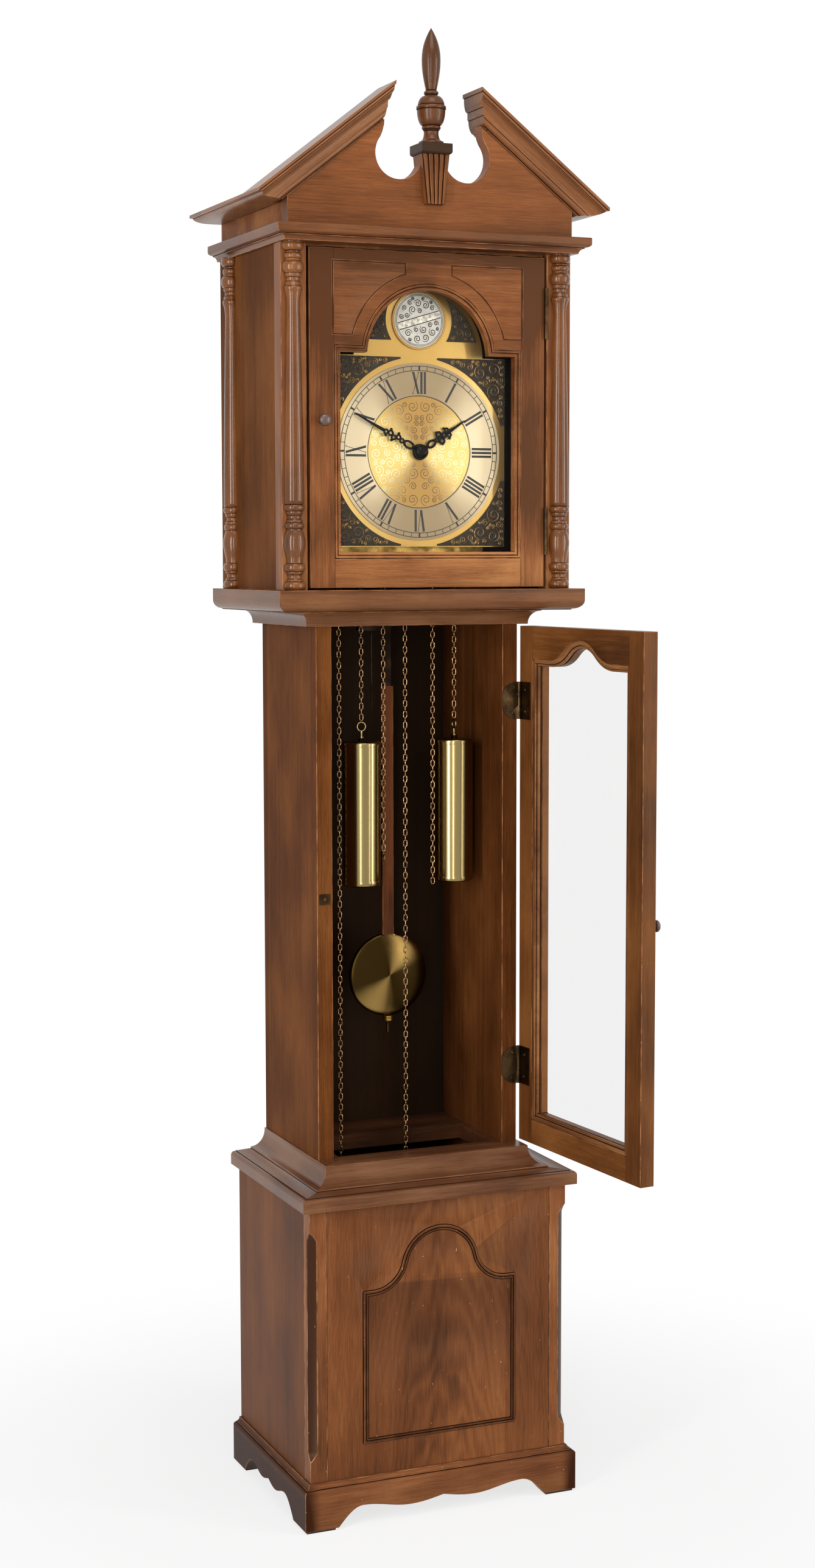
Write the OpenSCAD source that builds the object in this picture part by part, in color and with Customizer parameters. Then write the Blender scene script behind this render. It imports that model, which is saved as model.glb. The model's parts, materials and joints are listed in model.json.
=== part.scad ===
// Granddaughter clock: a glazed trunk door standing open on a weight-driven,
// three-train chain movement, under a hood with a broken pediment.
// Depths are measured forward from the wall that the back of the case stands against.

/* [Heights] */
// Thickness of the dark pads under the feet
pad_height = 3; // [2:0.5:6]
// Height of the bracket plinth above its pads
plinth_height = 52.5; // [48:0.5:70]
// Height of the square base
base_height = 318.5; // [300:0.5:360]
// Height of the coved moulding between base and trunk
waist_height = 41; // [38:0.5:50]
// Height of the trunk between its two mouldings
trunk_height = 618; // [600:1:660]
// Height of the moulding that carries the hood
hood_moulding_height = 41.7; // [39:0.1:48]
// Height of the hood from its moulding to the cornice
hood_height = 382.9; // [380:0.1:400]
// Height of the cornice
cornice_height = 17.7; // [16:0.1:24]
// Height of the plain frieze above the cornice
frieze_height = 26; // [20:0.5:40]

/* [Widths and depths] */
// Width of the base
base_width = 323.6; // [316:0.2:340]
// How far the base stands in front of the trunk
base_reach = 61.8; // [57:0.1:78]
// Width of the trunk
trunk_width = 253; // [250:0.5:262]
// Depth of the trunk without its door
trunk_depth = 181.5; // [179:0.5:184]
// Width of the hood
hood_width = 352; // [346:0.5:364]
// How far the hood stands in front of the trunk
hood_reach = 32.5; // [31.5:0.5:40]
// Thickness of the case boards
board = 18; // [15:0.5:20]
// Thickness of the trunk side boards
trunk_board = 19; // [16:0.5:20]
// Thickness of the back board
back_board_t = 10; // [6:0.5:12]

/* [Plinth and base] */
// How far the plinth stands out from the base
plinth_reach = 10.2; // [8:0.1:14]
// Width of a bracket foot along the front
foot_width = 41; // [35:0.5:55]
// Height of the scalloped apron's peaks above the floor
apron_peak = 25; // [20:0.5:34]
// Height of the apron's hanging lobes above the floor
apron_lobe = 17; // [10:0.5:19]
// Width of a front corner stile of the base
base_stile = 20.8; // [18:0.1:26]
// Width of the chamfer on the front corners of the base
chamfer_width = 9; // [5:0.5:11]
// Distance from each end of the base to its stopped chamfer
chamfer_stop = 24; // [16:1:40]
// Half width of the raised field on the base panel
field_half = 96; // [80:0.5:110]
// Height of the raised field above the bottom of the base
field_foot = 38.5; // [30:0.5:60]
// Height of the field's sides
field_side = 179; // [150:1:190]
// Rise of the field's arch above its shoulders
field_rise = 68; // [50:1:72]
// How far the field stands proud of its panel
field_proud = 1.7; // [1:0.1:3]

/* [Trunk door] */
// Width of the trunk door
door_width = 264; // [258:0.5:266]
// Thickness of the trunk door
door_t = 18; // [16:0.5:20]
// Width of the door's stiles and bottom rail
door_stile = 29; // [26:0.5:36]
// Height of the top rail at its shoulders
door_top_rail = 38; // [34:0.5:46]
// Rise of the arch in the top rail
door_arch_rise = 24; // [14:0.5:26]
// Width of the glazing rebate in both doors
rebate = 8; // [6:0.5:10]
// Thickness of the glass in both doors
glass_t = 3; // [2:0.5:4]
// Height of the knob above the bottom of the trunk
trunk_knob_height = 290; // [240:1:340]
// Angle at which the trunk door stands open
door_open = 95; // [70:1:100]

/* [Hood door] */
// Width of the hood door
hood_door_width = 289.6; // [288:0.2:292]
// Thickness of the hood door
hood_door_t = 19; // [17:0.5:20]
// Half width of the window up to the outside of its moulded edge
window_half = 115.2; // [112:0.2:118]
// Width of the moulded edge round the window
window_edge = 7.5; // [6:0.5:9]
// Radius of the window's arch up to the outside of its moulded edge
window_arch_r = 82.5; // [80:0.5:84]
// Height of the window's sill above the bottom of the hood
window_sill = 35.1; // [30:0.1:40]
// Height of the window's shoulders above the bottom of the hood
window_shoulder = 272.8; // [270:0.2:276]
// Height of the knob above the bottom of the hood
hood_knob_height = 188.7; // [150:0.1:220]

/* [Pediment] */
// Slope of the raking mouldings
rake = 37.7; // [34:0.1:39]
// Thickness of a raking moulding, square to its slope
rake_t = 27; // [24:0.5:30]
// How far the raking mouldings stand in front of the frieze
rake_reach = 18.7; // [15:0.1:22]
// Depth of a raking moulding from front to back
rake_depth = 54; // [40:1:70]
// How far the eaves stand out from the frieze
eaves_reach = 39.1; // [30:0.1:42]
// Distance from the centre to the top of a raking moulding's inner end
rake_inner = 52; // [48:0.5:56]
// Radius of the round notch beside the keystone
notch_r = 28; // [24:0.5:29]
// Height of the keystone's foot above the cornice
key_foot = 29.1; // [26:0.1:40]
// Height of the keystone
key_height = 54.6; // [50:0.1:60]
// Height of the finial on its block
finial_height = 128; // [110:1:140]

/* [Dial] */
// Width of the square part of the dial
dial_width = 216; // [212:1:220]
// Radius of the arch of the dial
dial_arch_r = 80; // [78:0.5:81]
// Height of the dial's centre above the bottom of the hood
dial_centre_height = 156.6; // [155:0.1:158]
// Distance from the front of the hood back to the dial
dial_setback = 29.6; // [28:0.1:31]
// Distance from the movement's front plate to the dial's back
dial_foot = 22.4; // [20:0.1:24]
// Distance from the dial's edge to the chapter ring
chapter_margin = 7; // [5:0.5:10]
// Inner radius of the chapter ring
chapter_inner_r = 63.2; // [58:0.2:66]
// Radius of the disc in the arch
boss_r = 33.4; // [30:0.2:36]
// Height of that disc above the dial's centre
boss_rise = 149; // [146:0.5:152]
// Length of the minute hand from the centre
minute_length = 90; // [84:0.5:96]
// Length of the hour hand from the centre
hour_length = 66.5; // [60:0.5:70]
// Angle of the minute hand, clockwise from twelve
minute_angle = -62.4; // [-180:0.1:180]
// Angle of the hour hand, clockwise from twelve
hour_angle = 57; // [-180:0.1:180]

/* [Movement and pendulum] */
// Depth of the movement over its two plates
movement_depth = 64; // [62:0.5:68]
// Height of the pendulum's pivot above the seat board
pivot_rise = 187; // [180:1:200]
// Height of the chain wheels above the seat board
wheel_rise = 32; // [30:1:40]
// Distance of the pendulum behind the movement
pendulum_gap = 10; // [8:0.5:12]
// Length of the pendulum from its pivot to the centre of its bob
pendulum_length = 690; // [670:1:700]
// Radius of the bob
bob_r = 50; // [44:0.5:52]
// Thickness of the bob
bob_t = 16; // [10:0.5:17]
// Width of the wooden rod
rod_width = 14.5; // [10:0.5:18]
// Width of the steel hanger at its foot
hanger_width = 10; // [8:0.5:12]
// Length of the hanger from the pivot to the top of the wooden rod
hanger_length = 342; // [300:1:400]
// How far the hanger's foot is let into the rod
hanger_lap = 20; // [15:1:30]

/* [Weights and chains] */
// Distance of the chains in front of the movement's back
chain_gap = 24.5; // [23:0.5:26]
// Radius of a chain wheel at the middle of its chain
wheel_r = 14; // [13:0.1:14.4]
// Radius of a weight
weight_r = 23; // [20:0.5:23.5]
// Length of a weight's shell
weight_length = 171; // [150:1:190]
// Drop from the chain wheels to the top of a weight's shell
weight_drop = 249; // [230:1:280]
// Drop from the chain wheels to the empty hook
hook_drop = 386; // [300:1:450]
// Drop from the chain wheels to the end of the left free strand
left_free_drop = 945; // [800:5:1000]
// Drop from the chain wheels to the end of the centre free strand
centre_free_drop = 915; // [800:5:1000]
// Drop from the chain wheels to the end of the right free strand
right_free_drop = 424; // [400:1:900]
// Distance from one chain link to the next
link_pitch = 6.4; // [6:0.05:6.8]
// Width of a chain link
link_width = 5.3; // [4.8:0.1:5.6]
// Thickness of the chain's wire
link_wire = 1.25; // [1:0.05:1.4]

/* [Hidden] */
$fn = 48;

// Gap between pieces that slide or swing past each other
gap = 0.3;
// Extra length of a cutter past the face that it opens
past = 1;

// Heights of the case's levels above the floor
z_plinth = pad_height;
z_base = z_plinth + plinth_height;
z_waist = z_base + base_height;
z_trunk = z_waist + waist_height;
z_hood_moulding = z_trunk + trunk_height;
z_hood = z_hood_moulding + hood_moulding_height;
z_cornice = z_hood + hood_height;
z_frieze = z_cornice + cornice_height;
z_gable = z_frieze + frieze_height;

// Depths of the base, the hood, the dial and the movement from the wall
base_depth = trunk_depth + base_reach;
hood_depth = trunk_depth + hood_reach;
dial_depth = hood_depth - dial_setback;
chapter_r = dial_width / 2 - chapter_margin;
plate_sheet = 2;
plate_front = dial_depth - plate_sheet - dial_foot;
plate_back = plate_front - movement_depth;
pendulum_depth = plate_back - pendulum_gap;
chain_depth = plate_back + chain_gap;

// Half widths of the case
base_half = base_width / 2;
trunk_half = trunk_width / 2;
trunk_inner = trunk_half - trunk_board;
hood_half = hood_width / 2;

// Hinge line of the trunk door, beside the trunk's front edge
barrel_r = 2.5;
trunk_pivot_x = trunk_half + barrel_r + 0.2;
trunk_pivot_d = trunk_depth + 0.5;
door_gap = 3.1;
door_back = trunk_depth + door_gap;
door_front = door_back + door_t;
door_half = door_width / 2;
door_bottom = z_trunk + 1;
door_top = z_hood_moulding - 2.4;

// Overall depth with the door open, which places the origin under its middle
swing_s = door_half + trunk_pivot_x;
swing_face = door_open < 90 ? door_front - trunk_pivot_d : door_back - trunk_pivot_d;
overall_depth = trunk_pivot_d + swing_s * sin(door_open) + swing_face * cos(door_open);
back_y = overall_depth / 2;

// An arc of points about a centre
function arc(c, r, a0, a1, n = 8) =
    [for (i = [0:n]) let (a = a0 + (a1 - a0) * i / n) c + r * [cos(a), sin(a)]];

// Points mirrored left to right, in reverse order so that they join on
function mirrored(p) = [for (i = [len(p) - 1:-1:0]) [-p[i][0], p[i][1]]];

// Outline with straight sides and an arch whose shoulders curve out into it
function shouldered(half, foot, shoulder, rise, shoulder_x, apex_r, inset) =
    let (sum = (shoulder_x * shoulder_x + rise * rise) / (2 * rise),
        turn = atan2(sum - rise, shoulder_x),
        apex = [0, shoulder + rise - apex_r],
        side = [shoulder_x, shoulder + sum - apex_r],
        right = concat([[half - inset, foot + inset], [half - inset, shoulder - inset]],
            arc(side, sum - apex_r + inset, 270, 180 + turn, 10),
            arc(apex, apex_r - inset, turn, 90, 12)))
    concat(right, mirrored(right));

// The whole clock stands with its back at this distance behind the origin
module at_wall() translate([0, back_y, 0]) children();

// A board between two widths, two depths and two heights
module block(x, d, z)
    translate([x[0], -d[1], z[0]]) cube([x[1] - x[0], d[1] - d[0], z[1] - z[0]]);

// The same board on both sides of the clock
module block_pair(x, d, z) {
    block(x, d, z);
    mirror([1, 0, 0]) block(x, d, z);
}

// A shape drawn as seen from the front, given its back and front depths
module front_shape(d0, d1)
    translate([0, -d0, 0]) rotate([90, 0, 0]) linear_extrude(d1 - d0) children();

// A rod along the depth of the clock
module depth_rod(x, z, r, d0, d1)
    translate([x, -d0, z]) rotate([90, 0, 0]) cylinder(r = r, h = d1 - d0);

// A turning about the vertical axis
module turned(profile, angle = 360)
    rotate_extrude(angle = angle) polygon(profile);

// Moulding round the front and both sides, mitred at the front corners. Its profile is
// [outward, height] from the reference lines ref_x and ref_d; front_in and side_in are how
// far its back lies inside them
module moulding(profile, ref_x, ref_d, reach, front_in, side_in, z0, z1) difference() {
    right = [for (p = profile) [ref_x + p[0], p[1]]];
    half = ref_x + reach + past;
    intersection() {
        front_shape(-past, ref_d + reach + past) polygon(concat(right, mirrored(right)));
        translate([half, -ref_d, 0]) rotate([90, 0, -90]) linear_extrude(2 * half)
            polygon(concat([[-ref_d, z0]], profile, [[-ref_d, z1]]));
    }
    block([side_in - ref_x, ref_x - side_in], [-past, ref_d - front_in], [z0 - past, z1 + past]);
}

// Plinth and base

// Lower edge of an apron from its middle to the foot, as points right of the middle
function apron_edge(half, top) =
    let (foot = half - foot_width, peak_x = foot - 30, lobe_x = peak_x * 0.4,
        cusp = (top + apron_lobe) / 2 + 1.5)
    concat([[0, cusp]],
        [for (i = [1:6]) let (t = i / 6) [lobe_x * t, cusp + (apron_lobe - cusp) * sin(90 * t)]],
        [for (i = [1:10]) let (t = i / 10)
            [lobe_x + (peak_x - lobe_x) * t, apron_lobe + (top - apron_lobe) * (1 - cos(180 * t)) / 2]],
        [for (i = [1:8]) let (t = i / 8)
            [peak_x + (foot - peak_x) * t, top - (top - z_plinth) * (1 - cos(90 * t))]],
        [[foot, -past]]);

module apron_cut(half, top) {
    right = apron_edge(half, top);
    polygon(concat(right, mirrored(right)));
}

plinth_inner = board - plinth_reach;
plinth_half = base_half + plinth_reach;
plinth_front = base_depth + plinth_reach;

function plinth_profile() =
    let (r = plinth_reach, top = z_base)
    concat([[-plinth_inner, z_plinth], [r, z_plinth], [r, top - 9]],
        arc([r - 3, top - 9], 3, 0, 90, 6),
        [[r - 3.8, top - 6], [r - 3.8, top - 5]],
        arc([r - 3.8, top - 1.2], 3.8, 270, 180, 6),
        [[r - 7.6, top], [-plinth_inner, top]]);

module foot_pads() color("#2a2320") at_wall() {
    inset = 3;
    for (side = [0, 1]) mirror([side, 0, 0]) {
        difference() {
            block([plinth_half - foot_width + inset, plinth_half - inset],
                [plinth_front - foot_width + inset, plinth_front - inset], [0, pad_height]);
            block([plinth_half - foot_width, plinth_half - board],
                [plinth_front - foot_width, plinth_front - board], [-past, pad_height + past]);
        }
        block([plinth_half - board, plinth_half - inset], [inset, foot_width - inset],
            [0, pad_height]);
    }
}

module plinth() color("#7a4a2c") at_wall() difference() {
    moulding(plinth_profile(), base_half, base_depth, plinth_reach, plinth_inner,
        plinth_inner, z_plinth, z_base);
    front_shape(plinth_front - board - past, plinth_front + past)
        apron_cut(plinth_half, apron_peak);
    translate([0, -plinth_front / 2, 0]) rotate([0, 0, 90])
        front_shape(-plinth_half - past, plinth_half + past)
            apron_cut(plinth_front / 2, apron_peak);
}

module base_carcass() color("#74462a") at_wall() {
    inner = base_half - board;
    block_pair([inner, base_half], [0, base_depth - board], [z_base, z_waist]);
    block([-inner, inner], [0, base_depth - board], [z_base, z_base + board]);
}

// Cutter for a chamfer that dies away at both ends, on the corner at the local origin
module stopped_chamfer(width, z0, z1) {
    deep = width / sqrt(2);
    taper = 12;
    reach = deep + 2;
    foot = [for (i = [0:6]) let (t = i / 6) [reach - reach * t, z0 + taper * (1 - cos(90 * t))]];
    head = [for (i = [6:-1:0]) let (t = i / 6) [reach - reach * t, z1 - taper * (1 - cos(90 * t))]];
    rotate([90, 0, 0]) translate([-deep, 0, -20]) linear_extrude(40)
        polygon(concat(foot, head));
}

module base_stiles() color("#74462a") at_wall()
    for (side = [0, 1]) mirror([side, 0, 0]) difference() {
        block([base_half - base_stile, base_half], [base_depth - board, base_depth],
            [z_base, z_waist]);
        translate([base_half, -base_depth, 0]) rotate([0, 0, -45])
            stopped_chamfer(chamfer_width, z_base + chamfer_stop, z_waist - chamfer_stop);
    }

field_bottom = z_base + field_foot;
field_apex_r = 48;
field_shoulder_x = field_half - 12;

module field_outline(inset)
    polygon(shouldered(field_half, field_bottom, field_bottom + field_side, field_rise,
        field_shoulder_x, field_apex_r, inset));

module base_panel() color("#7d4a2a") at_wall() {
    half = base_half - base_stile;
    bead = 5;
    block([-half, half], [base_depth - board, base_depth], [z_base, z_waist]);
    front_shape(base_depth - past, base_depth + field_proud) difference() {
        field_outline(0);
        field_outline(bead * 0.45);
    }
    front_shape(base_depth - past, base_depth + field_proud - 0.7) field_outline(bead * 0.45 - 0.1);
    front_shape(base_depth - past, base_depth + field_proud) difference() {
        field_outline(bead * 0.65);
        field_outline(bead);
    }
}

module back_board() color("#5c3a24") at_wall() {
    base_inner = base_half - board;
    hood_inner = hood_half - board - 7;
    block([-base_inner, base_inner], [0, back_board_t], [z_base + board, z_waist]);
    block([-trunk_inner, trunk_inner], [0, back_board_t], [z_waist, seat_z]);
    block([-hood_inner, hood_inner], [0, back_board_t], [seat_z, z_cornice]);
}

// Waist moulding and trunk

waist_ref_d = base_depth - base_half + trunk_half;
waist_reach = base_half + 10.4 - trunk_half;
waist_in = waist_ref_d - trunk_depth;

function waist_profile() =
    let (r = waist_reach, bottom = z_waist, top = z_trunk)
    concat([[-waist_in, bottom], [r, bottom], [r, bottom + 11]],
        arc([r - 4.5, bottom + 11], 4.5, 0, 90, 6),
        [[r - 6.2, bottom + 15.5], [r - 6.2, bottom + 16], [20, bottom + 17], [20, bottom + 19]],
        [for (i = [0:10]) let (a = 90 * i / 10)
            [20 - 18 * sin(a), top - 2 - (top - bottom - 21) * cos(a)]],
        [[2, top], [-waist_in, top]]);

module waist_moulding() color("#7a4a2c") at_wall()
    moulding(waist_profile(), trunk_half, waist_ref_d, waist_reach, waist_in, 0,
        z_waist, z_trunk);

// Underside of the seat board, which stands on the trunk's side boards inside the hood
seat_z = z_hood + 20.3;
seat_t = 18;
seat_top = seat_z + seat_t;

module trunk_sides() color("#74462a") at_wall()
    block_pair([trunk_inner, trunk_half], [0, trunk_depth], [z_waist, seat_z]);

floor_back = 78;
floor_lip = 9.5;

module trunk_floor() color("#6b4128") at_wall() difference() {
    block([-trunk_inner, trunk_inner], [back_board_t, trunk_depth], [z_trunk - board, z_trunk]);
    block([floor_lip - trunk_inner, trunk_inner - floor_lip],
        [floor_back, trunk_depth - floor_lip], [z_trunk - board - past, z_trunk + past]);
}

// Striking plate for the door's catch on the left side board's front edge
catch_size = [13, 12, 1.2];

module catch_plate() color("#b08d4f") at_wall() {
    x = -trunk_half + 2.5;
    z = z_trunk + trunk_knob_height + 9;
    difference() {
        block([x, x + catch_size[0]], [trunk_depth, trunk_depth + catch_size[2]],
            [z, z + catch_size[1]]);
        depth_rod(x + catch_size[0] / 2, z + catch_size[1] / 2, 2.2, trunk_depth - past,
            trunk_depth + 4);
    }
}

// Hinges

hinge_leaf_t = 1.3;
pin_r = 0.9;
pin_clearance = 0.06;

// Fixed knuckles at both ends of a barrel, on the pin that joins them
module fixed_knuckles(r, z0, z1) {
    third = (z1 - z0) / 3;
    translate([0, 0, z0]) cylinder(r = r, h = third);
    translate([0, 0, z1 - third]) cylinder(r = r, h = third);
    translate([0, 0, z0]) cylinder(r = pin_r, h = z1 - z0);
}

// The swinging knuckle in the middle of a barrel, bored for the pin
module swinging_knuckle(r, z0, z1) {
    third = (z1 - z0) / 3;
    difference() {
        translate([0, 0, z0 + third + gap]) cylinder(r = r, h = third - 2 * gap);
        translate([0, 0, z0]) cylinder(r = pin_r + pin_clearance, h = z1 - z0);
    }
}

// Removes the barrel's own space from a leaf, at the heights of the other leaf's knuckles
module knuckle_space(r, z0, z1) translate([0, 0, z0]) cylinder(r = r + gap, h = z1 - z0);

// Ends of the trunk door's two hinges above the floor
trunk_hinges = [[z_trunk + 70, z_trunk + 115], [z_hood_moulding - 112, z_hood_moulding - 68]];

module trunk_hinge_leaves() color("#6e5430") at_wall()
    for (h = trunk_hinges) {
        mid = (h[0] + h[1]) / 2;
        third = (h[1] - h[0]) / 3;
        translate([trunk_pivot_x, -trunk_pivot_d, 0]) fixed_knuckles(barrel_r, h[0], h[1]);
        difference() {
            front_shape(trunk_depth, trunk_depth + hinge_leaf_t) union() {
                intersection() {
                    translate([trunk_half, mid]) circle(r = (h[1] - h[0]) / 2);
                    translate([trunk_inner, h[0]]) square([trunk_board - 1, h[1] - h[0]]);
                }
                translate([trunk_half - 4, h[0]]) square([4 + barrel_r, h[1] - h[0]]);
            }
            translate([trunk_pivot_x, -trunk_pivot_d, 0])
                knuckle_space(barrel_r, h[0] + third, h[1] - third);
        }
    }

// Hood moulding and hood

hood_moulding_reach = hood_half + 12.7 - trunk_half;
hood_moulding_ref_d = hood_depth + 20.7 - hood_moulding_reach;

function hood_moulding_profile() =
    let (r = hood_moulding_reach, bottom = z_hood_moulding, top = z_hood)
    concat([[0, bottom], [12.5, bottom], [12.5, bottom + 1]],
        [for (i = [0:8]) let (a = 90 * i / 8)
            [24.5 - 12 * cos(a), bottom + 1 + 14.6 * sin(a)]],
        [[24.5, bottom + 17], [r - 11.7, bottom + 17], [r - 11.7, bottom + 18]],
        [for (i = [1:8]) let (a = 90 * i / 8) [r - 11.7 + 11.7 * sin(a), bottom + 28 - 10 * cos(a)]],
        [[r, top], [0, top]]);

module hood_moulding() color("#7a4a2c") at_wall() difference() {
    moulding(hood_moulding_profile(), trunk_half, hood_moulding_ref_d, hood_moulding_reach,
        0, 0, z_hood_moulding, z_hood);
    block([-trunk_half, trunk_half], [0, trunk_depth], [z_hood_moulding - past, z_hood + past]);
}

module hood_sides() color("#74462a") at_wall()
    block_pair([hood_half - board, hood_half], [0, hood_depth - frame_t], [z_hood, z_frieze]);

// Front frame of the hood, with its stiles a little proud of the sides
frame_t = 22;
frame_proud = 2;
frame_inner = hood_door_width / 2 + 3.2;
head_setback = 8;

module hood_front_frame() color("#74462a") at_wall() {
    block_pair([frame_inner, hood_half + frame_proud], [hood_depth - frame_t, hood_depth],
        [z_hood, z_cornice]);
    block([-frame_inner, frame_inner], [hood_depth - frame_t, hood_depth - head_setback],
        [z_cornice - 2.6, z_frieze]);
}

// Turned column, as radii and heights above its foot or below its head
column_height = z_cornice - z_hood;

function ring(r, mid, bulge, high) =
    [for (i = [0:6]) let (a = -90 + 30 * i) [r + bulge * cos(a), mid + high * sin(a)]];

function column_profile() =
    let (top = column_height)
    concat([[0, 0], [9.6, 0]],
        ring(9.6, 4.9, 3.1, 4.9),
        [[10.2, 9.9], [10.2, 11.6], [8.6, 12.6], [8.2, 14.7], [8.8, 17.6], [10.2, 19], [10.2, 20]],
        ring(10, 25.2, 2.5, 4.6),
        [[9.4, 30], [9.4, 31.4]],
        [for (i = [0:8]) let (t = i / 8) [9.4 + 3.3 * sin(180 * pow(t, 1.35)), 31.4 + 36.4 * t]],
        ring(9.4, 71.6, 2.2, 3.4),
        [[9.8, 75.2], [9.8, 77.6], [8.4, 78.8], [8, 81], [8.4, 83.4], [9.8, 85], [9.8, 87.4]],
        ring(9.6, 91.6, 2.6, 3.8),
        [for (i = [0:12]) let (t = i / 12) [9.6 + 2 * sin(90 + 100 * t) - 1.2 * t, 96 + (top - 163.6) * t]],
        [for (i = [1:5]) let (t = i / 5) [8.05 + 2.9 * t * t, top - 67.6 + 16.6 * t]],
        [[10.9, top - 49.6], [9.6, top - 48.4], [9.6, top - 45.2], [8.3, top - 43.6],
            [8, top - 41.2], [8.3, top - 39], [9.6, top - 37.2], [9.6, top - 35]],
        ring(9.2, top - 27.6, 3.3, 6.6),
        [[9.4, top - 20.6], [9.4, top - 19]],
        ring(8.8, top - 15.6, 1.8, 3),
        [[8.4, top - 12.2], [8.4, top - 10.4]],
        [for (i = [0:6]) let (a = -90 + 25 * i) [8.8 + 3.8 * cos(a), top - 4.6 + 5.2 * sin(a)]],
        [[12.4, top], [0, top]]);

column_inset = 12;
side_column_d = 42.5;

// Split turnings stand against the front frame and against the hood's sides
module columns() color("#6f4326") at_wall()
    for (side = [0, 1]) mirror([side, 0, 0]) {
        translate([hood_half - column_inset, -hood_depth, z_hood]) rotate([0, 0, 180])
            turned(column_profile(), 180);
        translate([hood_half, -side_column_d, z_hood]) rotate([0, 0, -90])
            turned(column_profile(), 180);
    }

module hood_top_board() color("#6b4128") at_wall()
    block([board - hood_half, hood_half - board], [0, hood_depth - frame_t],
        [z_cornice, z_frieze]);

// Cornice and pediment

cornice_side = 15.3;
cornice_front = 29.5;
cornice_in = cornice_front - cornice_side + head_setback;

function cornice_profile() =
    let (r = cornice_side, bottom = z_cornice, top = z_frieze)
    concat([[-cornice_in, bottom], [r - 11.5, bottom]],
        [for (i = [1:6]) let (a = 90 * i / 6) [r - 6.5 - 5 * cos(a), bottom + 5.5 * sin(a)]],
        [[r - 6.5, top - 11]],
        [for (i = [1:6]) let (a = 90 * i / 6) [r - 6.5 + 6.5 * sin(a), top - 7.2 - 3.8 * cos(a)]],
        arc([r - 1, top - 1], 1, 0, 90, 3),
        [[-cornice_in, top]]);

module cornice() color("#7a4a2c") at_wall()
    moulding(cornice_profile(), hood_half, hood_depth + cornice_front - cornice_side,
        cornice_side, cornice_in, 0, z_cornice, z_frieze);

frieze_half = hood_half - 2.1;
frieze_front = hood_depth + 12.1;
frieze_t = 18.1;
frieze_back = frieze_front - frieze_t;

module frieze_sides() color("#74462a") at_wall()
    block_pair([frieze_half - board, frieze_half], [0, frieze_back], [z_frieze, z_gable]);

// Lower edge of the raking moulding where it meets the frieze, as a height at x
eaves_tip = frieze_half + eaves_reach;
eaves_top = z_gable + 8.7;
rake_drop = rake_t / cos(rake);
function rake_top(x) = eaves_top + (eaves_tip - x) * tan(rake);
function rake_foot(x) = rake_top(x) - rake_drop;

// Keystone, tapered downward
key_bottom = z_frieze + key_foot;
key_top = key_bottom + key_height;
key_top_half = 17;
key_bottom_half = 10.7;
notch_x = 41.5;
notch_z = key_top - 0.5;

key_taper = (key_top_half - key_bottom_half) / key_height;

module keystone_outline(grow = 0)
    polygon([[-key_bottom_half, key_bottom], [key_bottom_half, key_bottom],
        [key_top_half + grow * key_taper, key_top + grow],
        [-key_top_half - grow * key_taper, key_top + grow]]);

// Space between the keystone and the inner end of the pediment on the right side
module notch_space() {
    end = rake_inner + 6.5;
    translate([notch_x, notch_z]) circle(r = notch_r);
    polygon([[0, notch_z - 8], [notch_x + notch_r * cos(38), notch_z - 8],
        [notch_x + notch_r * cos(38), notch_z + notch_r * sin(38)], [end + 2.5, notch_z + 23],
        [end + 0.4, notch_z + 31], [end, notch_z + 38], [end, rake_foot(end) + 60],
        [0, rake_foot(end) + 60]]);
}

module tympanum() color("#7d4a2a") at_wall() {
    peak = rake_foot(0);
    front_shape(frieze_back, frieze_front) difference() {
        polygon([[-frieze_half, z_frieze], [frieze_half, z_frieze],
            [frieze_half, rake_foot(frieze_half)], [0, peak],
            [-frieze_half, rake_foot(frieze_half)]]);
        notch_space();
        mirror([1, 0]) notch_space();
        keystone_outline(past);
    }
}

// Profile across the raking moulding: outward from the frieze, and up from its lower edge
function rake_profile() =
    let (r = rake_reach, t = rake_t, back = rake_reach - rake_depth)
    concat([[back, 0], [1.5, 0], [1.5, 1.2]],
        [for (i = [0:6]) let (a = 90 * i / 6) [2 + 4.5 * sin(a), 6.2 - 4.6 * cos(a)]],
        [[6.5, 7.2], [7.6, 7.2], [7.6, 8.6]],
        [for (i = [1:8]) let (a = 90 * i / 8) [15 - 7.4 * cos(a), 8.6 + (t - 16.6) * sin(a)]],
        [[15, t - 7], [16.2, t - 7], [16.2, t - 6]],
        arc([16.2, t - 4.6], 1.4, -90, 60, 5),
        [[16.6, t - 3], [r, t - 2.6], [r, t], [back, t]]);

// Outline of the pediment's right half as the eaves and the inner ends cut it off
module rake_silhouette() {
    e = eaves_tip;
    low = z_gable;
    top = rake_top(rake_inner);
    polygon(concat([[rake_inner, top + 40], [rake_inner, top - 4.5], [rake_inner + 1.5, top - 4.5]],
        [for (i = [0:6]) let (a = 90 * i / 6) [rake_inner + 5 - 3.5 * cos(a), top - 6 - 14 * sin(a)]],
        [[rake_inner + 5.8, top - 20], [rake_inner + 5.8, top - 28]],
        [for (i = [0:6]) let (a = 90 * i / 6)
            [rake_inner + 7 + 7 * (1 - cos(a)), top - 29 - 15 * sin(a)]],
        [[rake_inner + 14, top - 90], [frieze_half, low - 40]],
        eaves_edge(),
        [[e, eaves_top + 200]]));
}

// Underside of the eaves from the frieze to the tip
function eaves_edge() =
    let (e = eaves_tip, low = z_gable)
    concat([[frieze_half, low], [e - 23, low]],
        [for (i = [1:8]) let (a = 90 * i / 8) [e - 23 + 19 * sin(a), low + 5.2 * (1 - cos(a))]],
        [[e, low + 5.2], [e, eaves_top]]);

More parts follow.
